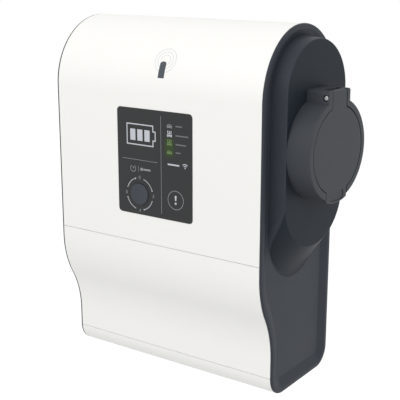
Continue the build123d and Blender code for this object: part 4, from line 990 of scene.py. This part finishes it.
def tag_half_width(along):
    """Half the bar's width at a height: full below, drawn in along a round at the top."""
    past = along - (TAG_HIGH - TAG_ROUND)
    if past <= 0:
        return TAG_WIDTH / 2
    return TAG_WIDTH / 2 - TAG_ROUND + math.sqrt(max(0.0, TAG_ROUND ** 2 - past ** 2))


levels = [TAG_LOW + (TAG_HIGH - TAG_LOW) * index / TAG_STEPS for index in range(TAG_STEPS + 1)]
tag = [[(TAG_X - tag_half_width(low), low), (TAG_X + tag_half_width(low), low),
        (TAG_X + tag_half_width(high), high), (TAG_X - tag_half_width(high), high)]
       for low, high in zip(levels, levels[1:])]
add_piece("reader_tag", plan_mesh("reader_tag", tag, on_arch), tag_ink)
print("arch radius, mm:", round(ARCH_R / MM, 1))

# %% [markdown]
# ## The solid screws
#
# The solid model's screws are plain pins with round heads, which is all that their holes need. Each solid
# is found by walking along its edges. The way that it points is the one of its main axes along which its
# points lie in the fewest rings: top of head, seat and end.

# %% Measure the solid screws
SCREW_NODES = ["panel_screws", "upper_cover_screws", "lower_cover_screws", "socket_housing_screws",
               "socket_insert_screws", "display_board_screws", "reader_board_screws", "rail_screws",
               "control_board_screws", "terminal_block_screws", "earth_bar_screws"]
SAME_POINT, SAME_RING = 0.001 * MM, 0.02 * MM


def islands(mesh):
    """The separate solids of a mesh of loose triangles, each as its points, in a fixed order."""
    shape = bmesh.new()
    shape.from_mesh(mesh)
    bmesh.ops.remove_doubles(shape, verts=shape.verts, dist=SAME_POINT)
    waiting = dict.fromkeys(shape.verts)
    solids = []
    while waiting:
        found = [waiting.popitem()[0]]
        for vertex in found:
            for near in [edge.other_vert(vertex) for edge in vertex.link_edges]:
                if near in waiting:
                    del waiting[near]
                    found.append(near)
        solids.append([vertex.co.copy() for vertex in found])
    shape.free()
    return solids


def measure_screw(points):
    """Seat, way, head radius, head height, shank radius and length of one solid screw."""
    middle = sum(points, Vector()) / len(points)
    spread = numpy.cov(numpy.array([point - middle for point in points]).T)
    ways = [Vector(axis) for axis in numpy.linalg.eigh(spread)[1].T]
    rings = [sorted({round((point - middle).dot(way) / MM, 2) for point in points}) for way in ways]
    heights, way = min(zip(rings, ways), key=lambda pair: len(pair[0]))
    heights = [height * MM for height in heights]
    reach = {height: max((point - middle - way * (point - middle).dot(way)).length for point in points
                         if abs((point - middle).dot(way) - height) < SAME_RING) for height in heights}
    if reach[heights[0]] < reach[heights[-1]]:
        way, heights = -way, [-height for height in reversed(heights)]
        reach = {-height: value for height, value in reach.items()}
    top, seat, end = heights[0], heights[1], heights[-1]
    centre = middle + way * seat
    return centre, way, reach[top], seat - top, reach[end], end - seat


measured = {name: [measure_screw(points) for points in islands(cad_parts[name].data)]
            for name in SCREW_NODES}
for name, found in measured.items():
    print(name, len(found), [round(value / MM, 2) for value in found[0][2:]])

# %% [markdown]
# ## Skins over rings
#
# A screw and the shape of its recess are both stacks of rings with a skin over them, closed at both ends.
# A ring asks for its radius at every angle, so the same function makes a round head and a thread, whose
# radius falls and rises once in each turn.

# %% Skins over rings
SCREW_SIDES = 16


def ring(shape, radius_at, z):
    """A ring of vertices at a height, each at the radius that its angle has."""
    angles = [math.tau * index / SCREW_SIDES for index in range(SCREW_SIDES)]
    return [shape.verts.new((radius_at(angle) * math.cos(angle), radius_at(angle) * math.sin(angle), z))
            for angle in angles]


def skin(name, shape, rings):
    """The mesh of a stack of rings, closed at both ends, with its faces turned outwards."""
    for low, high in zip(rings, rings[1:]):
        for index in range(len(low)):
            after = (index + 1) % len(low)
            shape.faces.new((low[index], low[after], high[after], high[index]))
    shape.faces.new(rings[0][::-1])
    shape.faces.new(rings[-1])
    bmesh.ops.recalc_face_normals(shape, faces=shape.faces)
    mesh = bpy.data.meshes.new(name)
    shape.to_mesh(mesh)
    shape.free()
    return mesh


print("degrees between ring points:", 360 / SCREW_SIDES)

# %% [markdown]
# ## The screw model
#
# The real screws have domed heads with a cross recess and a rolled thread. The thread fades in along its
# first half turn, so it meets the head in a round neck. The recess is cut out of the head with a tapered
# cross, and all of it scales with the head and shank that were measured.

# %% The screw model
THREAD_PITCH, THREAD_DEPTH, THREAD_STEPS = 1.25 * MM, 0.22 * MM, 4

# The head's rings, by their share of its radius and of its height
HEAD_PROFILE = [(0.55, 1.0), (0.80, 0.88), (0.94, 0.62), (1.0, 0.30), (1.0, 0.0)]

# The cross: its arm's length and half width as shares of the head's radius, and how wide it is at what
# share of the head's height, from above the head to the recess's floor
CROSS_LONG, CROSS_WIDE = 0.60, 0.17
CROSS_TAPER = ((1.1, 1.2), (0.65, 0.35))


def screw_body(head_r, head_tall, shank_r, length):
    """A domed head above its seat and a threaded shank below, with Z down the shank."""
    shape = bmesh.new()
    rings = [ring(shape, lambda angle: share * head_r, -level * head_tall) for share, level in HEAD_PROFILE]
    steps = int(length / THREAD_PITCH * THREAD_STEPS)
    for step in range(steps + 1):
        z = length * step / steps
        fade = min(1.0, 2 * step / THREAD_STEPS)

        def threaded(angle):
            phase = (z / THREAD_PITCH + angle / math.tau) % 1.0
            return shank_r - fade * THREAD_DEPTH * abs(2 * phase - 1)

        rings.append(ring(shape, threaded, z))
    return skin("screw_body", shape, rings)


def cross_cutter(head_r, head_tall):
    """The tapered cross that the driver fits, to cut with: one arm's points, then each turned by quarters."""
    long, wide = CROSS_LONG * head_r, CROSS_WIDE * head_r
    plan = [(long, -wide), (long, wide), (wide, wide)]
    for index in range(9):
        x, y = plan[index]
        plan.append((-y, x))
    shape = bmesh.new()
    rings = [[shape.verts.new((x * taper, y * taper, -level * head_tall)) for x, y in plan]
             for taper, level in CROSS_TAPER]
    return skin("cross_cutter", shape, rings)


def screw_model(sizes):
    """One finished screw: the body with the cross cut out of its head."""
    body = new_object("screw", screw_body(*sizes))
    cutter = new_object("cutter", cross_cutter(*sizes[:2]))
    cut = body.modifiers.new("cross", "BOOLEAN")
    cut.object, cut.operation, cut.solver = cutter, "DIFFERENCE", "EXACT"
    bpy.context.view_layer.update()
    cut_mesh = bpy.data.meshes.new_from_object(body.evaluated_get(bpy.context.evaluated_depsgraph_get()))
    body.modifiers.clear()
    bpy.data.objects.remove(cutter)
    body.data = cut_mesh
    return body


longest = max(found[0][-1] for found in measured.values())
print("turns of the longest thread:", round(longest / THREAD_PITCH, 1))

# %% [markdown]
# ## Every screw in its place
#
# One model is made for each node of screws, and a node group stands it in every place, each turned as it
# may be when it is driven home. The piece then takes the solid node's place in the dressed model.

# %% Every screw in its place
def places_mesh(name, found):
    """Points at the screws' seats, each with the way that its screw is driven."""
    mesh = bpy.data.meshes.new(name)
    mesh.from_pydata([seat for seat, *rest in found], [], [])
    way = mesh.attributes.new("way", "FLOAT_VECTOR", "POINT")
    for index, (seat, direction, *rest) in enumerate(found):
        way.data[index].vector = direction
    return mesh


for name, found in measured.items():
    model = screw_model(found[0][2:])
    screws = through_group(name + "_driven", places_mesh(name + "_driven", found), stand_on_points,
                           Model=model, Finish=zinc_steel)
    bpy.data.objects.remove(model)
    piece = add_piece(name + "_driven", screws, None)
    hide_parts(name)
print("screws:", sum(len(found) for found in measured.values()))
